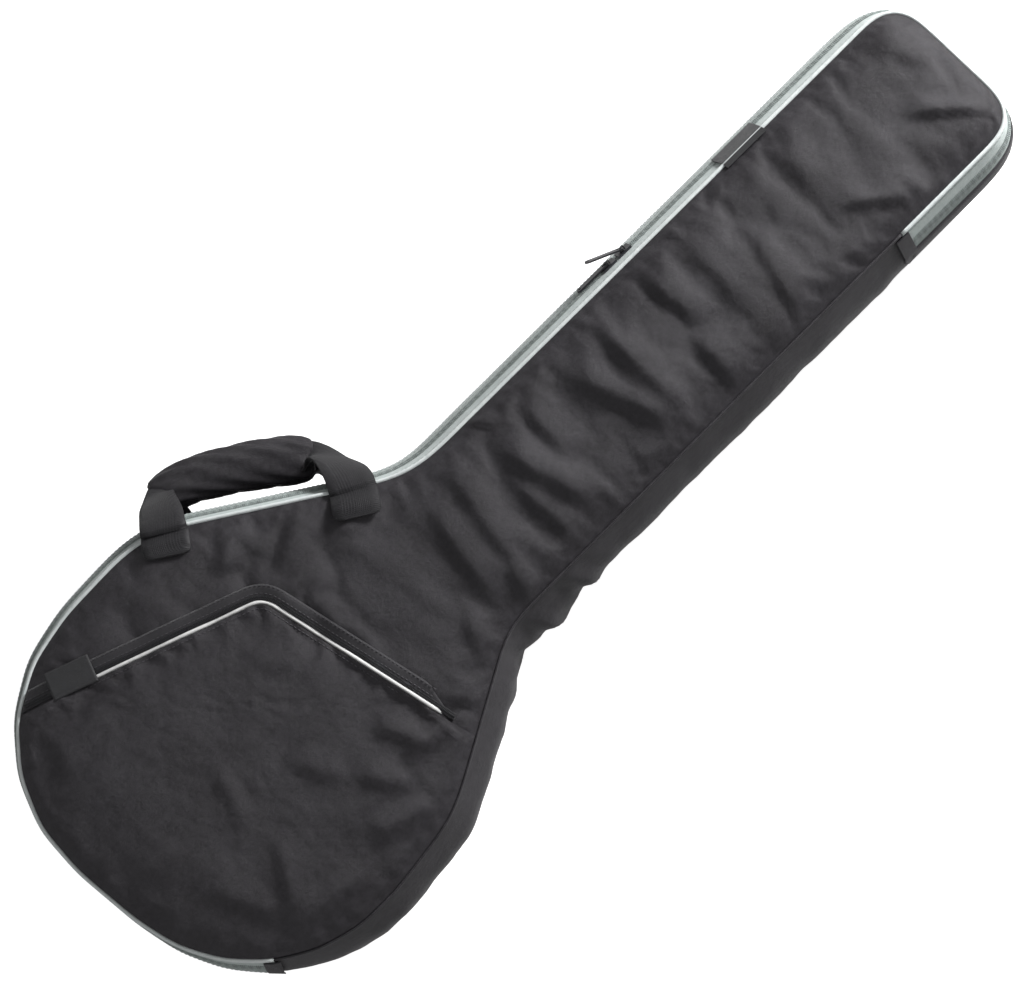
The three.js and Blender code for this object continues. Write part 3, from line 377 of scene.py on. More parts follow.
# Side walls: the gusset on the fold side runs the whole depth, and the wall behind the zip
# stops below it. Oxford, foam and lining, slightly rippled where they are sewn.
def quilt(name, face, back, materials):
    """A closed piece of cloth between two grids of points, its face and its back."""
    rows, columns = face.shape[:2]
    points = np.vstack([face.reshape(-1, 3), back.reshape(-1, 3)])
    shift = rows * columns
    index = np.arange(shift).reshape(rows, columns)
    quads = np.stack([index[:-1, :-1], index[:-1, 1:], index[1:, 1:], index[1:, :-1]], -1).reshape(-1, 4)
    border = np.concatenate([index[0], index[1:, -1], index[-1, -2::-1], index[-2:0:-1, 0]])
    ahead = np.roll(border, -1)
    walls = np.stack([ahead, border, border + shift, ahead + shift], 1)
    faces = np.vstack([quads, quads[:, ::-1] + shift, walls])
    finish = [0] * len(quads) + [1] * len(quads) + [0] * len(walls)
    flat = np.meshgrid(run_along(face[rows // 2]), run_along(face[:, columns // 2]))
    flat = np.stack(flat, -1).reshape(-1, 2)
    return build(name, points, faces, np.vstack([flat, flat]), materials, finish)


def cloth_noise(points, scale, seed):
    """Smooth uneven values from -1 to 1 at points."""
    shift = Vector((seed, 0, 0))
    return np.array([noise.fractal(Vector(point) / scale + shift, 1.0, 2.0, 3) for point in points])


def wall_grid(stations, heights, out=0.0, ripple=0.0, seed=0):
    """Points on the side wall at stations and heights, moved outward. Rippled cloth also
    bunches in lumps at the waist of the fold side."""
    grid = np.zeros((len(heights), len(stations), 3))
    for row, height in enumerate(heights):
        reach = bulge[stations] * wall_share(height) + out
        line = seam[stations] + outward[stations] * np.reshape(reach, (-1, 1))
        grid[row] = np.column_stack([line, np.full(len(stations), height)])
    if ripple:
        stretched = grid.reshape(-1, 3) * (1, 1, 0.45)
        moved = (ripple * cloth_noise(stretched, 0.035, seed)).reshape(grid.shape[:2])
        ease = np.sin(np.pi * np.linspace(0.06, 0.94, len(heights)))[:, None]
        waist = (grid[:, :, 0] + 0.085) / 0.06
        phase = 105 * (grid[:, :, 0] + 0.4 * grid[:, :, 2])
        lumps = np.cos(phase + 1.5 * np.sin(0.37 * phase)) + 0.35 * np.cos(2.3 * phase) + 0.4
        moved += np.where(grid[:, :, 1] < -0.1, 0.005 * lumps * np.exp(-waist ** 4), 0)
        grid[:, :, :2] += outward[stations][None] * (moved * ease)[:, :, None]
    return grid


def shade_as_one(piece, normals):
    """Shades the face and back of a piece by normals that it shares with the piece beside it."""
    mesh = piece.data
    shading = []
    for polygon in mesh.polygons:
        for index in polygon.vertices:
            shared = Vector(normals[index % len(normals)])
            facing = polygon.normal.dot(shared)
            shading.append(shared * math.copysign(1, facing) if abs(facing) > 0.3 else polygon.normal)
    mesh.normals_split_custom_set(shading)


def padded_wall(name, face, stations, heights):
    """A side wall of three layers, pinched at its upper and lower edges."""
    edge = np.minimum(heights - heights[0], heights[-1] - heights)
    back = face.copy()
    back[:, :, :2] -= outward[stations][None] * layers(edge)[:, None, None]
    wall = quilt(name, face, back, [oxford, lining])
    return wall


# The fold side has three lengths: one stays still, one twists and one folds at the neck.
WALL_BEND_LOW = 0.075
WALL_BEND_HIGH = 0.1095
twist_from = station_near((-0.2158, -0.1730))
twist_to = station_near((-0.1632, -0.1440))
fold_side = stations_between(zip_bottom, zip_head)
cut = len(stations_between(zip_bottom, twist_from))
next_cut = len(stations_between(zip_bottom, twist_to))
gusset_heights = np.linspace(SEAM_LOW, SEAM_HIGH, 25)
gusset_face = wall_grid(fold_side, gusset_heights, 0, 0.0016, 1)
gusset_normals = unit(np.cross(np.gradient(gusset_face, axis=1), np.gradient(gusset_face, axis=0)))
gusset_normals *= np.sign(np.sum(gusset_normals[:, :, :2] * outward[fold_side], axis=2))[:, :, None]
gusset = []
for name, first, last in (("gusset_body", 0, cut), ("gusset_waist", cut - 1, next_cut),
                          ("gusset_neck", next_cut - 1, len(fold_side))):
    wall = padded_wall(name, gusset_face[:, first:last], fold_side[first:last], gusset_heights)
    shade_as_one(wall, gusset_normals[:, first:last].reshape(-1, 3))
    gusset.append(wall)
gusset_body, gusset_waist, gusset_neck = gusset
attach(gusset_body, "case_body")
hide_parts("gusset_shell", "gusset_foam", "gusset_lining")
twist = fold_across / (FOLD_END - FOLD_START) + np.array([0, 0, 1 / (WALL_BEND_HIGH - WALL_BEND_LOW)])
twist_start = np.append((fold_from + FOLD_END * fold_across)[:2], WALL_BEND_LOW)
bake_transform(gusset_waist, "case_body", "front_panel", twist_start, twist_start + twist / np.dot(twist, twist))
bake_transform(gusset_neck, "case_body", "front_panel", (0, -0.12, WALL_BEND_LOW), (0, -0.12, WALL_BEND_HIGH))
zip_side = stations_between(zip_head, zip_bottom)
zip_heights = np.linspace(SEAM_LOW, 0.0756, 17)
zip_wall = padded_wall("zip_wall", wall_grid(zip_side, zip_heights, 0, 0.0012, 3), zip_side, zip_heights)
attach(zip_wall, "case_body")
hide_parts("wall_shell", "wall_foam", "wall_lining")


# Long zip: two woven tapes sewn along the wall and the front, with a nylon coil on each.
# It starts and ends under sewn tabs, where the front folds open.
tape_grey = cloth_material("polyester_zip_tape", "#7f8987", "#9da7a5", 0.0009, 0.00015, rough=0.7)
tape_bright = cloth_material("silver_zip_tape", "#9aa4a2", "#b4bdbb", 0.0009, 0.00015, rough=0.62)
coil_grey = cloth_material("nylon_coil", "#7d8583", "#9aa3a1", 0.0004, 0.00003, rough=0.4, sheen=0.0)
thread_black = cloth_material("bonded_nylon_thread", "#2c2a2e", "#434046", 0.0003, 0.00003, rough=0.5)
thread_grey = cloth_material("grey_nylon_thread", "#8b9391", "#aab2b0", 0.0003, 0.00003, rough=0.5)


def wall_line(stations, height, out=0.0):
    """Points on the wall at one height with the way straight out of the cloth there."""
    above, here, below = wall_grid(stations, np.array([height + 0.0005, height, height - 0.0005]))
    ahead = np.column_stack([along[stations], np.zeros(len(stations))])
    normal = unit(np.cross(ahead, above - below))
    return here + out * normal, normal


def wall_strip(name, stations, low, high, out, thickness, material):
    """A thin band of cloth on the wall between two heights."""
    lines = [wall_line(stations, height) for height in np.linspace(low, high, 5)]
    face = np.array([line + out * normal for line, normal in lines])
    back = np.array([line + (out - thickness) * normal for line, normal in lines])
    return quilt(name, face, back, [material, material])


def repeat_along(name, line, up, step, shape, shape_faces, material, start=0.5):
    """One small shape again and again along a line: X along it and Z the way up says."""
    run = run_along(line)
    places = (np.arange(int(run[-1] / step)) + start) * step

    def at(values, where):
        return np.stack([np.interp(where, run, values[:, axis]) for axis in range(3)], 1)

    ahead = unit(at(line, places + 0.0004) - at(line, places - 0.0004))
    top = at(up, places)
    top = unit(top - np.sum(top * ahead, axis=1)[:, None] * ahead)
    basis = np.stack([ahead, np.cross(top, ahead), top], 1)
    points = at(line, places)[:, None] + np.einsum("uk,nkc->nuc", shape, basis)
    starts = np.arange(len(places)) * len(shape)
    faces = [[corner + start for corner in face] for start in starts for face in shape_faces]
    flat = np.column_stack([np.repeat(places, len(shape)), np.tile(shape[:, 1] + shape[:, 2], len(places))])
    return build(name, points.reshape(-1, 3), faces, flat, [material], smooth=False)


def tooth(width, length, high, way):
    """One turn of a coil as a rounded bar, its side outline carried across its width."""
    outline = np.array([(0, -0.3), (0, 0.35), (0.12, 0.9), (0.3, 1), (0.75, 1), (1, 0.4), (1, -0.3)])
    outline = outline * (way * length, high)
    shape = np.array([(x, y, z) for x in (-width / 2, width / 2) for y, z in outline])
    count = len(outline)
    pairs = [(index, (index + 1) % count) for index in range(count)]
    sides = [(here, there, there + count, here + count) for here, there in pairs]
    return shape, sides + [tuple(range(count)), tuple(range(2 * count - 1, count - 1, -1))]


def stitches(name, line, up, material=thread_black, step=0.0042, length=0.003):
    """A row of lockstitches: short threads that dip into the cloth at both ends."""
    places = length * np.array([-0.5, -0.3, 0.3, 0.5])
    shape = [(places[0], 0, -0.0002), (places[3], 0, -0.0002)]
    for x in places[1:3]:
        shape += [(x, -0.00035, 0), (x, 0, 0.0004), (x, 0.00035, 0)]
    faces = [(0, 2, 3), (0, 3, 4), (2, 5, 6, 3), (3, 6, 7, 4), (1, 6, 5), (1, 7, 6)]
    return repeat_along(name, line, up, step, np.array(shape), faces, material)


PARTING = 0.0938
tape_back = wall_strip("zip_tape_lower", zip_side, 0.0748, PARTING - 0.0006, 0.0006, 0.0012, tape_grey)
fit(tape_back, "case_body", "zip_tape", "zip_tape_back")
tape_front = wall_strip("zip_tape_upper", zip_side, PARTING + 0.0006, 0.1104, 0.0006, 0.0012, tape_bright)
fit(tape_front, "folding front", "bright_strip", "zip_tape_front")
head_side = stations_between(zip_head, station_near((0.505, -0.02)))
facing = wall_strip("head_facing", head_side, 0.0735, 0.0868, 0.0016, 0.001, oxford)
fit(facing, "case_body", "nylon")
parting_line, parting_up = wall_line(zip_side, PARTING, 0.0006)
for name, body, way, start, node in (("zip_coil_lower", "case_body", -1, 0.5, "zip_coil_back"),
                                     ("zip_coil_upper", "folding front", 1, 1.0, "zip_coil_front")):
    turn, turn_faces = tooth(0.00105, 0.0043, 0.0011, way)
    coil = repeat_along(name, parting_line, parting_up, 0.0017, turn, turn_faces, coil_grey, start)
    fit(coil, body, "zip_tape", node)
for name, height in (("zip_stitch_lower", 0.0772), ("zip_stitch_lower_inner", 0.0862),
                     ("zip_stitch_upper", 0.1062)):
    row = stitches(name, *wall_line(zip_side, height, 0.0006), thread_grey)
    fit(row, "folding front" if height > PARTING else "case_body", "zip_tape")


def finished(piece, *modifiers):
    """Adds modifiers, given as a kind and its settings, and makes their result the mesh."""
    for kind, settings in modifiers:
        modifier = piece.modifiers.new(kind.title(), kind)
        for name, value in settings.items():
            setattr(modifier, name, value)
    bpy.context.view_layer.update()
    result = bpy.data.meshes.new_from_object(piece.evaluated_get(bpy.context.evaluated_depsgraph_get()))
    piece.modifiers.clear()
    piece.data = result
    return piece


def lay_flat(piece, turn, materials):
    """Lays the weave over each face from the side that it faces most, turned about Z."""
    mesh = piece.data
    mesh.materials.clear()
    for material in materials:
        mesh.materials.append(material)
    while mesh.uv_layers:
        mesh.uv_layers.remove(mesh.uv_layers[0])
    layer = mesh.uv_layers.new(name="Flat")
    cos, sin = math.cos(turn), math.sin(turn)
    turned = np.array([(cos, sin, 0), (-sin, cos, 0), (0, 0, 1)])
    for polygon in mesh.polygons:
        axis = int(np.argmax(np.abs(turned @ polygon.normal)))
        for index in polygon.loop_indices:
            point = turned @ mesh.vertices[mesh.loops[index].vertex_index].co
            layer.data[index].uv = (point[(axis + 1) % 3], point[(axis + 2) % 3])
    return piece


def copy_of(name, node):
    """A new object with a node's shape, its split corners joined and flat faces merged."""
    shape = bmesh.new()
    shape.from_mesh(nodes[node].data)
    bmesh.ops.remove_doubles(shape, verts=shape.verts, dist=1e-5)
    bmesh.ops.dissolve_limit(shape, angle_limit=0.02, verts=shape.verts, edges=shape.edges)
    mesh = bpy.data.meshes.new(name)
    shape.to_mesh(mesh)
    for layer in list(mesh.attributes):
        if layer.name.startswith("custom_normal"):
            mesh.attributes.remove(layer)
    return placed(name, mesh)


def sewn_copy(name, node, material, turn=0.0, edge=0.0004):
    """A cut piece of cloth or webbing in a node's shape, its edges rounded by their wear."""
    piece = copy_of(name, node)
    finished(piece, ("BEVEL", dict(width=edge, segments=2, limit_method="ANGLE", angle_limit=0.5)))
    piece.data.polygons.foreach_set("use_smooth", np.full(len(piece.data.polygons), True))
    finished(piece, ("WEIGHTED_NORMAL", dict(keep_sharp=True)))
    return lay_flat(piece, turn, [material])


for end in ("head", "bottom"):
    tab = sewn_copy(f"zip_end_{end}", f"zip_tab_{end}", oxford, edge=0.0008)
    fit(tab, "case_body", "nylon", f"zip_tab_{end}")


# Front panel: the same three layers cut as one sheet. Loosely filled, so it creases across
# the neck and at the waist. It lifts off along the zip and folds about its far side.
mouth_ends = np.array([(-0.4592, 0.1283), (-0.2432, 0.0503), (-0.2007, -0.1407)])


def mouth_line(move, step=0.004):
    """The line of the pocket's mouth, moved out of the pocket, with its corner rounded."""
    legs = unit(np.diff(mouth_ends, axis=0))
    out = np.column_stack([-legs[:, 1], legs[:, 0]])
    bend = unit(out[0] + out[1])
    corner = mouth_ends[1] + move * bend / np.dot(bend, out[0])
    cut = (0.025 + move) * 0.5497
    share = np.linspace(0, 1, 9)[:, None]
    before, after = corner - cut * legs[0], corner + cut * legs[1]
    arc = (1 - share) ** 2 * before + 2 * share * (1 - share) * corner + share ** 2 * after
    line = np.vstack([mouth_ends[0] + move * out[0] - 0.02 * legs[0], arc, mouth_ends[2] + move * out[1]])
    line = resample(line, step, closed=False)
    return line[inside(seam, line) & (distance_to(seam, line) > 0.0015)]


def ridge(plan, start, end, width, height):
    """Rise of one fold of cloth from start to end, steeper on one side than the other."""
    start, run = np.array(start), np.array(end) - start
    length = np.hypot(*run)
    place = (plan - start) @ run / length ** 2
    aside = (plan - start) @ np.array([-run[1], run[0]]) / length
    aside = aside + 0.10 * length * np.sin(3.1 * place + 9 * start[0]) * 0.35
    ends = np.clip(np.minimum(place, 1 - place) / 0.35, 0, 1)
    width = np.where(aside > 0, 1.4 * width, 0.6 * width)
    return height * np.exp(-(aside / width) ** 2) * ends * ends * (3 - 2 * ends)


CLOTH_STEPS = 20


def sim_cloth(piece, held, swell, pressure, cap):
    """Lets a sheet a little too large for its seams puff and buckle, with its edge held."""
    mesh = piece.data
    rest = np.empty(len(mesh.vertices) * 3)
    mesh.vertices.foreach_get("co", rest)
    rest = rest.reshape(-1, 3)
    group = piece.vertex_groups.new(name="held")
    steps = np.round(held, 1)
    for share in sorted(set(steps)):
        if share > 0:
            group.add([int(index) for index in np.flatnonzero(steps == share)], float(share), "REPLACE")
    cloth = piece.modifiers.new("Cloth", "CLOTH")
    settings = dict(quality=6, mass=0.3, vertex_group_mass="held", pin_stiffness=1.0, shrink_min=-swell,
                    shrink_max=-swell, tension_stiffness=30, compression_stiffness=30, bending_stiffness=1.5,
                    use_pressure=True, uniform_pressure_force=pressure)
    for name, value in settings.items():
        setattr(cloth.settings, name, value)
    cloth.settings.effector_weights.gravity = 0
    cloth.point_cache.frame_start = 1
    cloth.point_cache.frame_end = CLOTH_STEPS
    for step in range(1, CLOTH_STEPS + 1):
        bpy.context.scene.frame_set(step)
    result = piece.evaluated_get(bpy.context.evaluated_depsgraph_get()).to_mesh()
    moved = np.empty(len(mesh.vertices) * 3)
    result.vertices.foreach_get("co", moved)
    piece.modifiers.clear()
    piece.vertex_groups.clear()
    bpy.context.scene.frame_set(1)
    shift = np.nan_to_num(moved.reshape(-1, 3) - rest)
    length = np.linalg.norm(shift, axis=1)[:, None] + 1e-12
    shift *= cap * np.tanh(length / cap) / length
    mesh.vertices.foreach_set("co", (rest + shift).ravel())
    mesh.update()


def sheet_after_cloth(plan, faces, height, held, swell, pressure, cap):
    """Where the points of a sheet end up once it has puffed and buckled."""
    sheet = build("cloth_trial", np.column_stack([plan, height]), faces, plan, [])
    sim_cloth(sheet, held, swell, pressure, cap)
    points = np.empty(len(plan) * 3)
    sheet.data.vertices.foreach_get("co", points)
    bpy.data.objects.remove(sheet)
    return points.reshape(-1, 3)


# Each row: where a fold starts and ends in plan, its half width and its height.
FRONT_FOLDS = [
    ((0.190, 0.022), (0.188, -0.060), 0.012, 0.0050),
    ((0.135, 0.028), (0.123, -0.116), 0.014, 0.0075),
    ((0.080, 0.022), (0.117, -0.112), 0.013, 0.0070),
    ((0.034, 0.018), (0.030, -0.064), 0.010, 0.0050),
    ((-0.012, 0.018), (0.022, -0.106), 0.013, 0.0080),
    ((-0.020, -0.017), (-0.012, -0.118), 0.011, 0.0060),
    ((-0.054, 0.024), (-0.062, -0.105), 0.014, 0.0060),
    ((-0.085, 0.020), (-0.100, -0.110), 0.014, 0.0050),
    ((-0.073, -0.072), (-0.082, -0.133), 0.009, 0.0050),
    ((-0.128, -0.080), (-0.150, -0.136), 0.010, 0.0040),
    ((-0.092, 0.062), (-0.177, 0.031), 0.012, 0.0045),
    ((-0.160, 0.090), (-0.216, 0.053), 0.010, 0.0040),
    ((-0.225, 0.122), (-0.253, 0.083), 0.009, 0.0040),
    ((0.184, -0.048), (0.172, -0.118), 0.011, 0.0040),
    ((0.238, 0.020), (0.225, -0.070), 0.016, 0.0040),
    ((0.282, -0.010), (0.251, -0.116), 0.013, 0.0040),
    ((0.340, -0.055), (0.410, -0.116), 0.008, 0.0045),
    ((0.436, -0.040), (0.512, -0.100), 0.007, 0.0045),
    ((0.352, 0.020), (0.343, -0.048), 0.012, 0.0025),
    ((0.404, -0.072), (0.410, -0.115), 0.008, 0.0030),
    ((0.470, 0.020), (0.500, -0.035), 0.010, 0.0025),
]
pocket_mouth = mouth_line(-0.0045)
rim = seam - 0.001 * outward
below_mouth = stations_between(station_near(pocket_mouth[0]) + 1, station_near(pocket_mouth[-1]) - 1)
pocket_edge = np.vstack([rim[below_mouth], pocket_mouth[::-1]])
covered = np.where(inside(pocket_edge, panel_plan), distance_to(pocket_edge, panel_plan), 0)
free = 1 - np.clip(covered / 0.02, 0, 1)
away = 1 - np.exp(-panel_inset / 0.009)
folds = sum(ridge(panel_plan, *fold) for fold in FRONT_FOLDS)
for index, station in enumerate(range(6, len(seam), 7)):
    lean = math.sin(5.3 * index) * 0.9
    way = -outward[station] * math.cos(lean) + along[station] * math.sin(lean)
    reach = 0.030 + 0.022 * math.sin(2.1 * index)
    start = seam[station] + 0.012 * outward[station]
    folds = folds + ridge(panel_plan, start, start + reach * way, 0.0045, 0.0034 * math.sin(1.7 * index + 1))
spread_out = np.column_stack([panel_plan * (1, 0.45), np.zeros(len(panel_plan))])
folds = folds + 0.0018 * cloth_noise(spread_out, 0.032, 5) + 0.0028 * cloth_noise(spread_out, 0.09, 6)
front_z = SEAM_HIGH + PANEL_RISE * crown(panel_inset) + folds * away * free
held = np.clip(1 - (panel_inset - 0.002) / 0.012, 0, 1)
held = np.maximum(held, 0.9 * (1 - free))
front_points = sheet_after_cloth(panel_plan, panel_faces, front_z, held, 0.02, 1.5, 0.004)
front_z = front_points[:, 2]
front = closed_sheet("front_panel_cloth", panel_plan, panel_faces, front_z, front_z - layers(panel_inset),
                     [oxford, lining])
fit(front, "folding front", "nylon", "front_shell", "front_foam", "front_lining", "front_strip_shell",
    "front_strip_foam", "front_strip_lining")


def search_tree(plan, heights, faces):
    """The triangles of a sheet, for rays to find."""
    points = [tuple(point) for point in np.column_stack([plan, heights])]
    return BVHTree.FromPolygons(points, [tuple(int(index) for index in face) for face in faces])


def heights_on(tree, plan, missed):
    """Where rays from above meet a sheet, and a given height where they miss it."""
    hits = [tree.ray_cast(Vector((x, y, 0.3)), Vector((0, 0, -1)))[0] for x, y in plan]
    return np.array([hit.z if hit else missed for hit in hits])


front_tree = search_tree(panel_plan, front_z, panel_faces)


def on_front(plan, rise):
    """Places of plan points at a rise over the front panel."""
    return np.column_stack([plan, heights_on(front_tree, plan, SEAM_HIGH) + rise])


# Welts: the folded seam allowance that stands along both seams, sewn through all layers.
def tube(name, line, radius, material, closed=True, sides=8):
    """A round cord of cloth along a line."""
    ahead = np.roll(line, -1, axis=0) - np.roll(line, 1, axis=0)
    if not closed:
        ahead[0], ahead[-1] = line[1] - line[0], line[-1] - line[-2]
    ahead = unit(ahead)
    side = unit(np.cross(ahead, (0, 0, 1)))
    top = np.cross(side, ahead)
    turns = np.linspace(0, 2 * math.pi, sides, endpoint=False)
    points = [line + radius * (math.cos(turn) * side + math.sin(turn) * top) for turn in turns]
    count = len(line)
    faces = []
    for index in range(count if closed else count - 1):
        for turn in range(sides):
            here, there = turn * count, (turn + 1) % sides * count
            after = (index + 1) % count
            faces.append((here + index, here + after, there + after, there + index))
    if not closed:
        faces += [[turn * count + end for turn in range(sides)] for end in (0, count - 1)]
    flat = [np.column_stack([run_along(line), np.full(count, turn * radius)]) for turn in turns]
    return build(name, np.concatenate(points), faces, np.concatenate(flat), [material])


silver = cloth_material("silver_piping", "#c3caca", "#dde2e1", 0.0009, 0.00005, rough=0.45)
for name, stations, height, radius, material, body, slot in (
        ("seam_welt_back", np.arange(len(seam)), SEAM_LOW, 0.0013, oxford, "case_body", "nylon"),
        ("seam_welt_gusset", fold_side, SEAM_HIGH, 0.0013, oxford, "folding front", "nylon"),
        ("seam_piping_zip", zip_side, SEAM_HIGH - 0.0003, 0.0019, silver, "folding front", "bright_strip")):
    line = np.column_stack([seam[stations] + 0.0006 * outward[stations], np.full(len(stations), height)])
    fit(tube(name, line, radius, material, closed=len(stations) == len(seam)), body, slot)
for name, node, body in (("binding_back", "back_binding", "case_body"),
                         ("binding_front", "front_binding", "folding front")):
    fit(sewn_copy(name, node, lining), body, "webbing", node)


# Pocket: one sheet of oxford over the body, slack enough to crease, sewn into the rim. Above
# the line between the ends of its mouth it turns down as a flap. Its cut is a little larger
# than its plan, by the slack.
mouth_from, mouth_to = mouth_ends[2], mouth_ends[0]
across_mouth = (mouth_to - mouth_from) / np.hypot(*(mouth_to - mouth_from))
POCKET_FOLDS = [
    ((-0.261, -0.140), (-0.206, -0.140), 0.008, 0.0050),
    ((-0.329, -0.165), (-0.256, -0.184), 0.008, 0.0055),
    ((-0.433, -0.168), (-0.333, -0.190), 0.009, 0.0050),
    ((-0.300, -0.110), (-0.262, -0.165), 0.009, 0.0045),
    ((-0.260, -0.090), (-0.225, -0.150), 0.009, 0.0045),
    ((-0.375, -0.099), (-0.421, -0.170), 0.009, 0.0035),
    ((-0.372, -0.015), (-0.398, -0.090), 0.007, 0.0026),
    ((-0.455, 0.107), (-0.468, 0.052), 0.010, 0.0030),
    ((-0.452, -0.085), (-0.421, -0.176), 0.010, 0.0035),
    ((-0.500, -0.040), (-0.440, -0.060), 0.010, 0.0025),
    ((-0.330, -0.060), (-0.300, -0.120), 0.010, 0.0030),
    ((-0.300, 0.020), (-0.250, -0.020), 0.012, 0.0020),
]
flap_way = np.array([-across_mouth[1], across_mouth[0], 0])
flap_way = flap_way if np.dot(flap_way[:2], mouth_ends[1] - mouth_from) > 0 else -flap_way
hinge_moves = np.arange(6)[:, None, None] * 0.0033 * flap_way[:2]
hinge_rows = hinge_moves + np.array([mouth_from, mouth_to])
pocket_plan, pocket_faces = sheet_plan(pocket_edge, 0.006, creases=hinge_rows)
pocket_inset = distance_to(rim, pocket_plan)
mouth_gap = np.min(np.hypot(*(pocket_plan[:, None] - pocket_mouth[None]).transpose(2, 0, 1)), axis=1)
lift = np.interp(pocket_inset, [0, 0.03, 0.065], [0.0013, 0.0018, 0.0052])
lift = np.maximum(lift, 0.0038 * np.exp(-(mouth_gap / 0.03) ** 2))
pocket_folds = sum(ridge(pocket_plan, *fold) for fold in POCKET_FOLDS)
pocket_flat = np.column_stack([pocket_plan, np.zeros(len(pocket_plan))])
pocket_folds = pocket_folds + 0.0008 * cloth_noise(pocket_flat, 0.03, 11)
pocket_folds = pocket_folds + 0.0010 * cloth_noise(pocket_flat, 0.08, 12)
pocket_edge_gap = distance_to(pocket_edge, pocket_plan)
eased = 1 - np.exp(-pocket_edge_gap / 0.008)
pocket_z = on_front(pocket_plan, lift + np.maximum(pocket_folds * eased, -0.6 * lift))[:, 2]
pocket_held = np.clip(1 - (pocket_edge_gap - 0.001) / 0.008, 0, 1)
pocket_points = sheet_after_cloth(pocket_plan, pocket_faces, pocket_z, pocket_held, 0.012, 1.0, 0.003)
pocket_z = np.maximum(pocket_points[:, 2], pocket_z - 0.001)
pocket_normals = np.zeros((len(pocket_plan), 3))
corners = np.column_stack([pocket_plan, pocket_z])[pocket_faces]
facing = np.cross(corners[:, 1] - corners[:, 0], corners[:, 2] - corners[:, 0])
for corner in range(3):
    np.add.at(pocket_normals, pocket_faces[:, corner], facing * np.sign(facing[:, 2:]))
pocket_normals = unit(pocket_normals)
leg = unit(mouth_ends[1] - mouth_ends[0])
beside_leg = np.array([-leg[1], leg[0]])
middles = pocket_plan[pocket_faces].mean(axis=1) - mouth_from
on_flap = across_mouth[0] * middles[:, 1] - across_mouth[1] * middles[:, 0] < 0
for name, chosen in (("pocket_cloth", ~on_flap), ("pocket_flap_cloth", on_flap)):
    used, faces = np.unique(pocket_faces[chosen], return_inverse=True)
    faces = faces.reshape(-1, 3)
    sheet = closed_sheet(name, pocket_plan[used], faces, pocket_z[used], pocket_z[used] - 0.0008,
                         [oxford, lining])
    shade_as_one(sheet, pocket_normals[used])
    if name == "pocket_cloth":
        fit(sheet, "folding front", "nylon", "pocket_panel", "pocket_strip")
    else:
        flap = sheet
hinge_middle = np.append((mouth_from + mouth_to) / 2, 0.126)
flap_bend = (hinge_middle, hinge_middle + 0.016 * flap_way)
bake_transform(flap, "front_panel", "pocket_flap_body", *flap_bend)
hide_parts("pocket_flap")
pocket_tree = search_tree(pocket_plan, pocket_z, pocket_faces)


def on_pocket(plan, rise):
    """Places of plan points at a rise over the pocket's cloth."""
    points = on_front(plan, rise)
    points[:, 2] = np.maximum(points[:, 2], heights_on(pocket_tree, plan, 0) + rise)
    return points


# Pocket trim: bright vinyl piping along the mouth, and a black zip on the panel beyond it.
def smooth_height(points):
    """A line in space with its heights evened out."""
    padded = np.pad(points[:, 2], 4, mode="edge")
    points[:, 2] = np.convolve(padded, np.ones(9) / 9, mode="valid")
    return points


vinyl = cloth_material("vinyl_piping", "#d6d6d6", "#e8e8e6", 0.0009, 0.00003, rough=0.45, sheen=0.0)
tape_black = cloth_material("black_zip_tape", "#19181b", "#2a282c", 0.0009, 0.00015, rough=0.7)
coil_black = cloth_material("black_nylon_coil", "#131315", "#222225", 0.0004, 0.00003, rough=0.35, sheen=0.0)
piping_line = mouth_line(-0.0022, 0.003)
piping_line = piping_line[((piping_line - mouth_from) @ flap_way[:2] > 0.0005)
                          & (np.hypot(*(piping_line - mouth_ends[0]).T) > 0.066)]
piping_points = smooth_height(on_pocket(piping_line, 0.0004))
piping_points[-5:, 2] -= (0.0003, 0.001, 0.002, 0.0032, 0.0045)
piping = tube("pocket_mouth_piping", piping_points, 0.0023, vinyl, closed=False, sides=10)
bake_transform(piping, "front_panel", "pocket_flap_body", *flap_bend)
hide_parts("pocket_piping")


def ribbon(name, line_from, line_to, rise, thickness, material):
    """A flat tape on the front panel between two lines of one length."""
    shares = np.linspace(0, 1, 5)
    lines = [line_from * (1 - share) + line_to * share for share in shares]
    face = np.array([smooth_height(on_front(line, rise)) for line in lines])
    back = face - (0, 0, thickness)
    return quilt(name, face, back, [material, material])


def upright(line):
    """Straight up at each point of a line."""
    return np.tile((0.0, 0.0, 1.0), (len(line), 1))


def even_line(move, count=150):
    """A line along the mouth in plan, with the same number of points at any distance from it."""
    line = mouth_line(move, 0.002)
    run = np.linspace(0, len(line) - 1, count)
    return np.stack([np.interp(run, np.arange(len(line)), line[:, axis]) for axis in range(2)], 1)


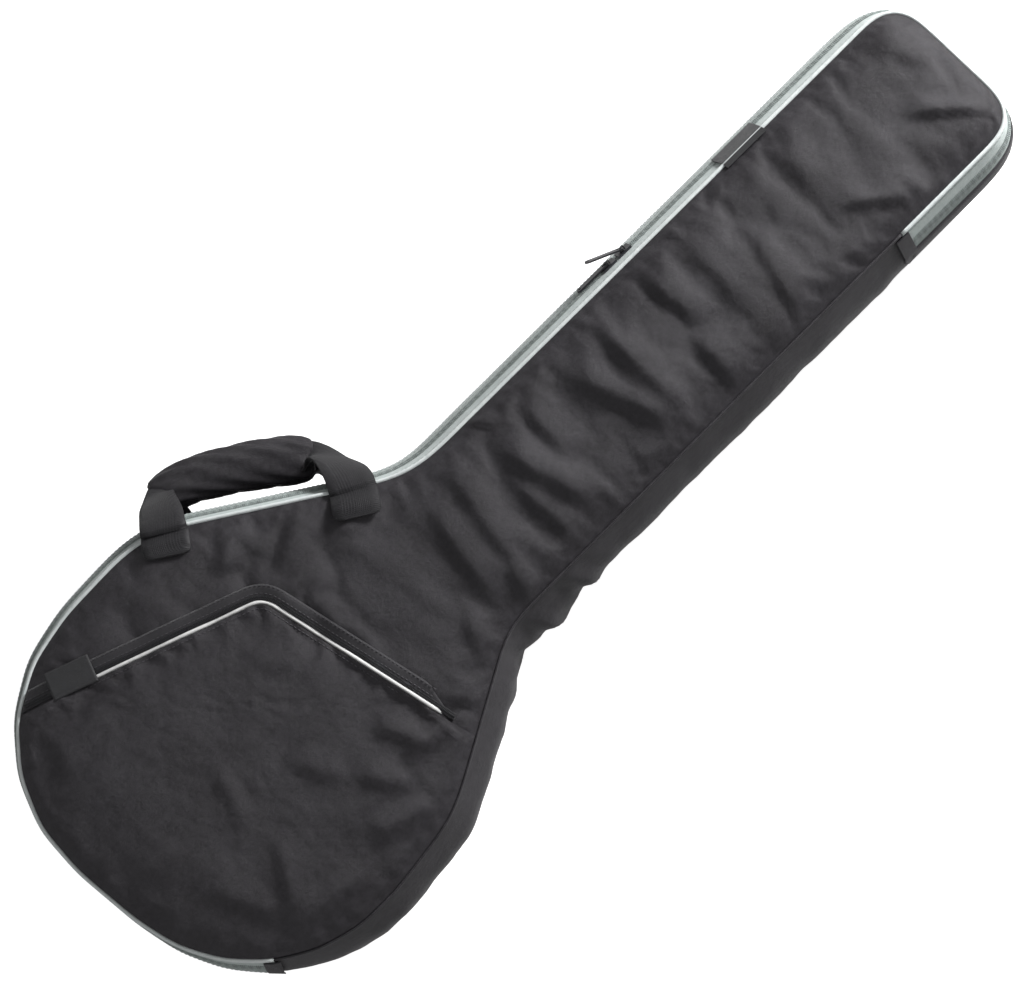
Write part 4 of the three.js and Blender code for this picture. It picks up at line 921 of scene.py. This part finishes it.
tape_edge = even_line(-0.002)
tape_width = (even_line(0.0136) - tape_edge) * np.clip(np.linspace(12, 0, 150), 0.2, 1)[:, None]
pocket_tape = ribbon("pocket_tape_cloth", tape_edge, tape_edge + tape_width, 0.0012, 0.001, tape_black)
fit(pocket_tape, "folding front", "webbing", "pocket_zip_tape")
coil_line = smooth_height(on_front(even_line(0.0019), 0.0013))
for name, way, start, nodes_of_it in (("pocket_coil_outer", 1, 0.5, ["pocket_zip_coil"]),
                                      ("pocket_coil_inner", -1, 1.0, [])):
    turn, turn_faces = tooth(0.0008, 0.0019, 0.0011, way)
    coil = repeat_along(name, coil_line, upright(coil_line), 0.0013, turn, turn_faces, coil_black, start)
    fit(coil, "folding front", "black_plastic", *nodes_of_it)
for name, move in (("pocket_stitch_outer", 0.0122), ("pocket_stitch_inner", 0.0056)):
    line = smooth_height(on_front(even_line(move)[:142], 0.0013))
    fit(stitches(name, line, upright(line)), "folding front", "webbing")
flap_stitch = mouth_line(-0.0078, 0.003)
flap_stitch = flap_stitch[(flap_stitch - mouth_from) @ flap_way[:2] > 0.018]
flap_stitch = on_pocket(flap_stitch, 0.0001)
fit(stitches("pocket_flap_stitch", flap_stitch, upright(flap_stitch)), "pocket_flap_body", "webbing")


# Labels: woven damask, left bare. One is folded over the long zip, one sewn at the pocket.
damask = cloth_material("damask_label", "#121214", "#1d1d20", 0.0004, 0.00008, rough=0.6, sheen=0.1)
side_tag = sewn_copy("side_tag", "side_label", damask, 0, 0.0002)
fit(side_tag, "front_panel", "label", "side_label")
tag_rows = []
for aside in np.linspace(-0.006, 0.0190, 16):
    row = mouth_ends[0] + aside * beside_leg + np.linspace(0.031, 0.0725, 20)[:, None] * leg
    over_piping = 0.1232 + 0.0012 * math.exp(-((aside + 0.002) / 0.006) ** 2)
    height = np.maximum(on_pocket(row, 0.0009)[:, 2], over_piping)
    tag_rows.append(np.column_stack([row, np.maximum(height, height.mean())]))
tag_face = np.array(tag_rows)
pocket_tag = quilt("pocket_tag", tag_face, tag_face - (0, 0, 0.0009), [damask, damask])
fit(pocket_tag, "front_panel", "label", "pocket_label")


# Handle: two loops of webbing sewn down the panels, their middles laid together in a padded
# wrap that closes with hook and loop tape.
webbing = cloth_material("polypropylene_webbing", "#111013", "#1e1d20", 0.0016, 0.0003, rough=0.6,
                         sheen=0.05, gloss=0.2)
loop_tape = cloth_material("loop_tape", "#151416", "#232225", 0.0005, 0.0003, rough=0.95, sheen=0.5)
handle_turn = math.atan2(-0.5420, 0.8404)
HANDLE = np.array([(0.8404, -0.5420, 0), (0.5420, 0.8404, 0), (0, 0, 1)])
HANDLE_START = np.array([-0.1796, 0.0998, 0])


def swept(name, centres, ups, outlines, material):
    """A closed form along a line: each outline stands across the line, its second axis up."""
    ahead = unit(np.gradient(centres, axis=0))
    ups = unit(ups - np.sum(ups * ahead, axis=1)[:, None] * ahead)
    sides = np.cross(ups, ahead)
    points = centres[:, None] + outlines[:, :, :1] * sides[:, None] + outlines[:, :, 1:] * ups[:, None]
    rows, count = outlines.shape[:2]
    index = np.arange(rows * count).reshape(rows, count)
    ahead_of = np.roll(index, -1, axis=1)
    faces = np.stack([index[:-1], ahead_of[:-1], ahead_of[1:], index[1:]], -1).reshape(-1, 4)
    faces = [tuple(face) for face in faces] + [tuple(index[0]), tuple(index[-1])]
    run = run_along(centres)
    round_it = np.linalg.norm(np.roll(outlines, -1, axis=1) - outlines, axis=2).cumsum(axis=1)
    flat = np.stack([np.repeat(run[:, None], count, axis=1), round_it], -1).reshape(-1, 2)
    return build(name, points.reshape(-1, 3), faces, flat, [material])


def smooth_path(controls, per=7):
    """Points on a smooth curve through rows of values."""
    rows = np.vstack([2 * controls[0] - controls[1], controls, 2 * controls[-1] - controls[-2]])
    share = np.linspace(0, 1, per, endpoint=False)[:, None]
    pieces = []
    for before, start, end, after in zip(rows, rows[1:], rows[2:], rows[3:]):
        pieces.append(start + share / 2 * (end - before + share * (
            2 * before - 5 * start + 4 * end - after + share * (3 * (start - end) + after - before))))
    return np.vstack(pieces + [controls[-1:]])


# Each row: run along the shoulder, way out from it, height, the way its face looks (three)
# and its width. The ends lie on the panel, and the middle lies inside the padded wrap.
LOOP = np.array([
    (-0.0996, -0.0255, 0.1205, 0, 0, 1, 0.030), (-0.0996, -0.0225, 0.1203, 0, 0, 1, 0.041),
    (-0.0996, -0.0100, 0.1190, 0, 0.1, 1, 0.043), (-0.1000, 0.0020, 0.1155, 0, 0.4, 0.9, 0.041),
    (-0.1010, 0.0140, 0.1045, -0.1, 0.7, 0.7, 0.040), (-0.1035, 0.0260, 0.0880, -0.15, 0.7, 0.5, 0.036),
    (-0.1045, 0.0360, 0.0690, -0.2, 0.7, 0.5, 0.030), (-0.1000, 0.0435, 0.0550, 0, 0.3, 0.9, 0.026),
    (-0.0900, 0.0465, 0.0500, 0, 0, 1, 0.026), (-0.0378, 0.0500, 0.0480, 0, 0, 1, 0.026),
    (0.0120, 0.0480, 0.0500, 0, 0, 1, 0.028), (0.0300, 0.0460, 0.0545, 0.3, 0.2, 0.9, 0.031),
    (0.0445, 0.0410, 0.0660, 0.5, 0.5, 0.7, 0.036), (0.0560, 0.0300, 0.0850, 0.4, 0.6, 0.6, 0.040),
    (0.0640, 0.0155, 0.1035, 0.15, 0.65, 0.7, 0.041), (0.0670, 0.0020, 0.1150, 0, 0.4, 0.9, 0.042),
    (0.0676, -0.0120, 0.1190, 0, 0.1, 1, 0.043), (0.0676, -0.0245, 0.1205, 0, 0, 1, 0.041),
    (0.0676, -0.0275, 0.1205, 0, 0, 1, 0.030),
])
BAND = np.array([(1, 0), (0.97, 0.7), (0.6, 1), (0, 1.15), (-0.6, 1), (-0.97, 0.7),
                 (-1, 0), (-0.97, -0.7), (-0.6, -1), (0, -1), (0.6, -1), (0.97, -0.7)])


def handle_loop(name, back):
    """A loop of webbing, on the front panel or turned over for the back one."""
    path = smooth_path(LOOP)
    if back:
        path[:, 2] = np.interp(path[:, 2], [0.049, 0.1205], [0.0405, 0.0068])
        path[:, 5] *= -1
    place = HANDLE_START + path[:, :3] @ HANDLE
    if not back:
        inner = path[:, 1] < -0.002
        place[inner] = on_front(place[inner, :2], 0.0018)
    scale = np.column_stack([path[:, 6] / 2, np.full(len(path), 0.0016)])
    return swept(name, place, path[:, 3:6] @ HANDLE, BAND[None] * scale[:, None], webbing)


for name, node, body in (("handle_loop_front", "handle_strap_front", "front_panel"),
                         ("handle_loop_back", "handle_strap_back", "case_body")):
    fit(handle_loop(name, body == "case_body"), body, "webbing", node)


WRAP_HALF = np.array([0.0225, 0.0130])


def wrap_part(name, first, last, thick, lean):
    """A part of the padded sleeve round the handle, between two turns about its middle."""
    shares = np.linspace(-1, 1, 61)
    way_out = 0.0435 + 0.0060 * (1 - shares ** 2) - 0.0050 * np.maximum(-shares - 0.5, 0) * 2
    line = np.column_stack([-0.0378 + 0.0735 * shares, way_out, np.full(61, 0.0480)])
    full = (0.60 + 0.40 * np.sqrt(1 - np.abs(shares) ** 5)) * (0.94 + 0.08 * shares)
    turns = np.radians(np.linspace(first, last, 25))
    round_it = np.column_stack([np.cos(turns), np.sin(turns)])
    ring = np.sign(round_it) * np.abs(round_it) ** 0.75 * WRAP_HALF
    inner = ring[::-1] * (1 - thick / WRAP_HALF)
    outlines = np.concatenate([ring, inner])[None] * full[:, None, None]
    both_ways = np.concatenate([turns, turns[::-1]])[None]
    near_end = np.exp(-((1 - np.abs(shares[:, None])) / 0.12) ** 2)
    ripple = 0.0007 * np.sin(13 * shares[:, None] + lean * 9 * both_ways)
    pinch = 0.0012 * near_end * np.sin(8 * both_ways)
    outlines *= 1 + ((ripple + pinch) / 0.016)[:, :, None]
    return swept(name, HANDLE_START + line @ HANDLE, upright(line), outlines, oxford)


for name, first, last, lean, body, node in (("grip_padding", 188, 330, 1, "front_panel", "grip_wrap"),
                                            ("grip_cover", -24, 182, -1, "grip_flap_body", "grip_flap")):
    part = wrap_part(name, first, last, 0.006, lean)
    fit(part, body, "nylon", node)
for name, node, body in (("grip_loop_side", "grip_loop_tape", "front_panel"),
                         ("grip_hook_side", "grip_hook_tape", "grip_flap_body")):
    fit(sewn_copy(name, node, loop_tape, handle_turn, 0.0002), body, "webbing", node)


def puffed(name, node, material, voxel, pressure, cap, turn=0.0, start=-0.0004):
    """A padded piece: the node's shape, shrunk a little, then blown up like a stuffed cover."""
    piece = copy_of(name, node)
    finished(piece, ("REMESH", dict(mode="VOXEL", voxel_size=voxel)))
    finished(piece, ("SMOOTH", dict(factor=0.5, iterations=3)),
             ("DISPLACE", dict(strength=start, mid_level=0)))
    sim_cloth(piece, np.zeros(len(piece.data.vertices)), 0.01, pressure, cap)
    finished(piece, ("SUBSURF", dict(levels=1)))
    piece.data.polygons.foreach_set("use_smooth", np.full(len(piece.data.polygons), True))
    return lay_flat(piece, turn, [material])


# Shoulder straps on the back: padded oxford above, webbing that runs through a ladder lock
# below, sewn under a patch near the bottom.
for side, sign in (("handle_side", -1), ("fold_side", 1)):
    turn = sign * math.atan(0.092)
    pad = puffed(f"{side}_pad", f"{side}_strap_pad", oxford, 0.003, 2, 0.0008, turn, -0.0008)
    for vertex in pad.data.vertices:
        vertex.co.z = min(max(vertex.co.z, 0), 0.0062)
    fit(pad, "case_body", "nylon", f"{side}_strap_pad")
    for part, material, slot in (("pad_loop", webbing, "webbing"), ("strap_webbing", webbing, "webbing"),
                                 ("strap_anchor", oxford, "nylon")):
        piece = sewn_copy(f"{side}_{part}_cloth", f"{side}_{part}", material, turn, 0.0003)
        fit(piece, "case_body", slot, f"{side}_{part}")


# Hardware: moulded ladder locks, and zinc sliders with satin black paint worn at the edges.
def hard_material(name, dark, light, rough, metal, scale):
    """A hard surface with fine grain, and paler edges where it rubs."""
    material, shader = bare_material(name)
    grain = add_node(material, "ShaderNodeTexNoise", Scale=scale, Detail=4.0)
    spot = add_node(material, "ShaderNodeTexCoord")
    geometry = add_node(material, "ShaderNodeNewGeometry")
    edge = add_node(material, "ShaderNodeMapRange", From_Min=0.54, From_Max=0.64)
    colour = add_node(material, "ShaderNodeMix", data_type="RGBA")
    colour.inputs["A"].default_value = linear(dark)
    colour.inputs["B"].default_value = linear(light)
    uneven = add_node(material, "ShaderNodeMapRange", To_Min=rough - 0.08, To_Max=rough + 0.1)
    surface = add_node(material, "ShaderNodeBump", Distance=0.00004, Strength=0.5)
    wire(material, (spot, "Object", grain, "Vector"), (geometry, "Pointiness", edge, "Value"),
         (edge, "Result", colour, "Factor"), (colour, "Result", shader, "Base Color"),
         (grain, "Fac", uneven, "Value"), (uneven, "Result", shader, "Roughness"),
         (grain, "Fac", surface, "Height"), (surface, "Normal", shader, "Normal"))
    shader.inputs["Metallic"].default_value = metal
    return material


acetal = hard_material("moulded_acetal", "#141416", "#1d1d20", 0.38, 0.0, 900)
painted_zinc = hard_material("painted_zinc", "#1b1b1e", "#3a3a3e", 0.32, 0.6, 1500)
for node, material in ([(f"{side}_ladder_lock", acetal) for side in ("handle_side", "fold_side")]
                       + [(f"{place}_{part}", painted_zinc) for place in ("upper", "lower", "pocket")
                          for part in ("slider", "puller")]):
    mesh = nodes[node].data
    mesh.materials.clear()
    mesh.materials.append(material)


# Floor, daylight and camera: a white paper floor that keeps the case's shadow, soft light that
# rakes over the cloth from the head's side, and the photograph's viewing angle.
floor_mesh = bpy.data.meshes.new("floor")
floor_mesh.from_pydata([(-4, -4, 0), (4, -4, 0), (4, 4, 0), (-4, 4, 0)], [], [(0, 1, 2, 3)])
paper, matt = bare_material("floor_paper")
matt.inputs["Base Color"].default_value = linear("#d8d8d8")
matt.inputs["Roughness"].default_value = 0.9
glow = add_node(paper, "ShaderNodeEmission", Strength=0.85)
lit = add_node(paper, "ShaderNodeAddShader")
ray = add_node(paper, "ShaderNodeLightPath")
shown = add_node(paper, "ShaderNodeMixShader")
wire(paper, (glow, 0, lit, 0), (matt, 0, lit, 1), (ray, "Is Camera Ray", shown, 0), (matt, 0, shown, 1),
     (lit, 0, shown, 2), (shown, 0, paper.node_tree.nodes["Material Output"], "Surface"))
floor_mesh.materials.append(paper)
floor = placed("floor", floor_mesh)

world = bpy.data.worlds.new("room")
bpy.context.scene.world = world
world.use_nodes = True
background = world.node_tree.nodes["Background"]
background.inputs["Color"].default_value = (1, 1, 1, 1)
background.inputs["Strength"].default_value = 0.2
white = add_node(world, "ShaderNodeBackground", Strength=1.0, Color=(1, 1, 1, 1))
path = add_node(world, "ShaderNodeLightPath")
seen = add_node(world, "ShaderNodeMath", operation="MAXIMUM")
seen_too = add_node(world, "ShaderNodeMath", operation="MAXIMUM")
choose = add_node(world, "ShaderNodeMixShader")
wire(world, (path, "Is Camera Ray", seen, 0), (path, "Is Glossy Ray", seen, 1), (seen, 0, seen_too, 0),
     (path, "Is Transmission Ray", seen_too, 1), (seen_too, 0, choose, 0), (background, 0, choose, 1),
     (white, 0, choose, 2), (choose, 0, world.node_tree.nodes["World Output"], "Surface"))


def lamp(name, place, target, size, power):
    """A large soft lamp that faces a point."""
    light = bpy.data.lights.new(name, "AREA")
    light.shape = "SQUARE"
    light.size = size
    light.energy = power
    body = placed(name, light)
    body.location = place
    body.rotation_euler = (Vector(target) - Vector(place)).to_track_quat("-Z", "Y").to_euler()


middle = Vector((-0.0260, -0.0325, 0.063))
lamp("key", (2.2, 0.2, 0.9), middle, 0.7, 128)
lamp("fill", (-1.3, -1.2, 2.2), middle, 1.4, 14)

toward = Vector((-0.0763, -0.1162, 1)).normalized()
camera_data = bpy.data.cameras.new("camera")
camera_data.lens = 100
camera_data.sensor_width = 36
camera = placed("camera", camera_data)
up_in_view = Vector((1, 1, 0)).normalized()
up_in_view = (up_in_view - up_in_view.dot(toward) * toward).normalized()
right = up_in_view.cross(toward)
CAMERA_AWAY = 2.5045
eye = middle + CAMERA_AWAY * toward
camera.matrix_world = Matrix((
    (right.x, up_in_view.x, toward.x, eye.x),
    (right.y, up_in_view.y, toward.y, eye.y),
    (right.z, up_in_view.z, toward.z, eye.z),
    (0, 0, 0, 1),
))
bpy.context.scene.camera = camera
bpy.context.scene.view_settings.view_transform = "Standard"
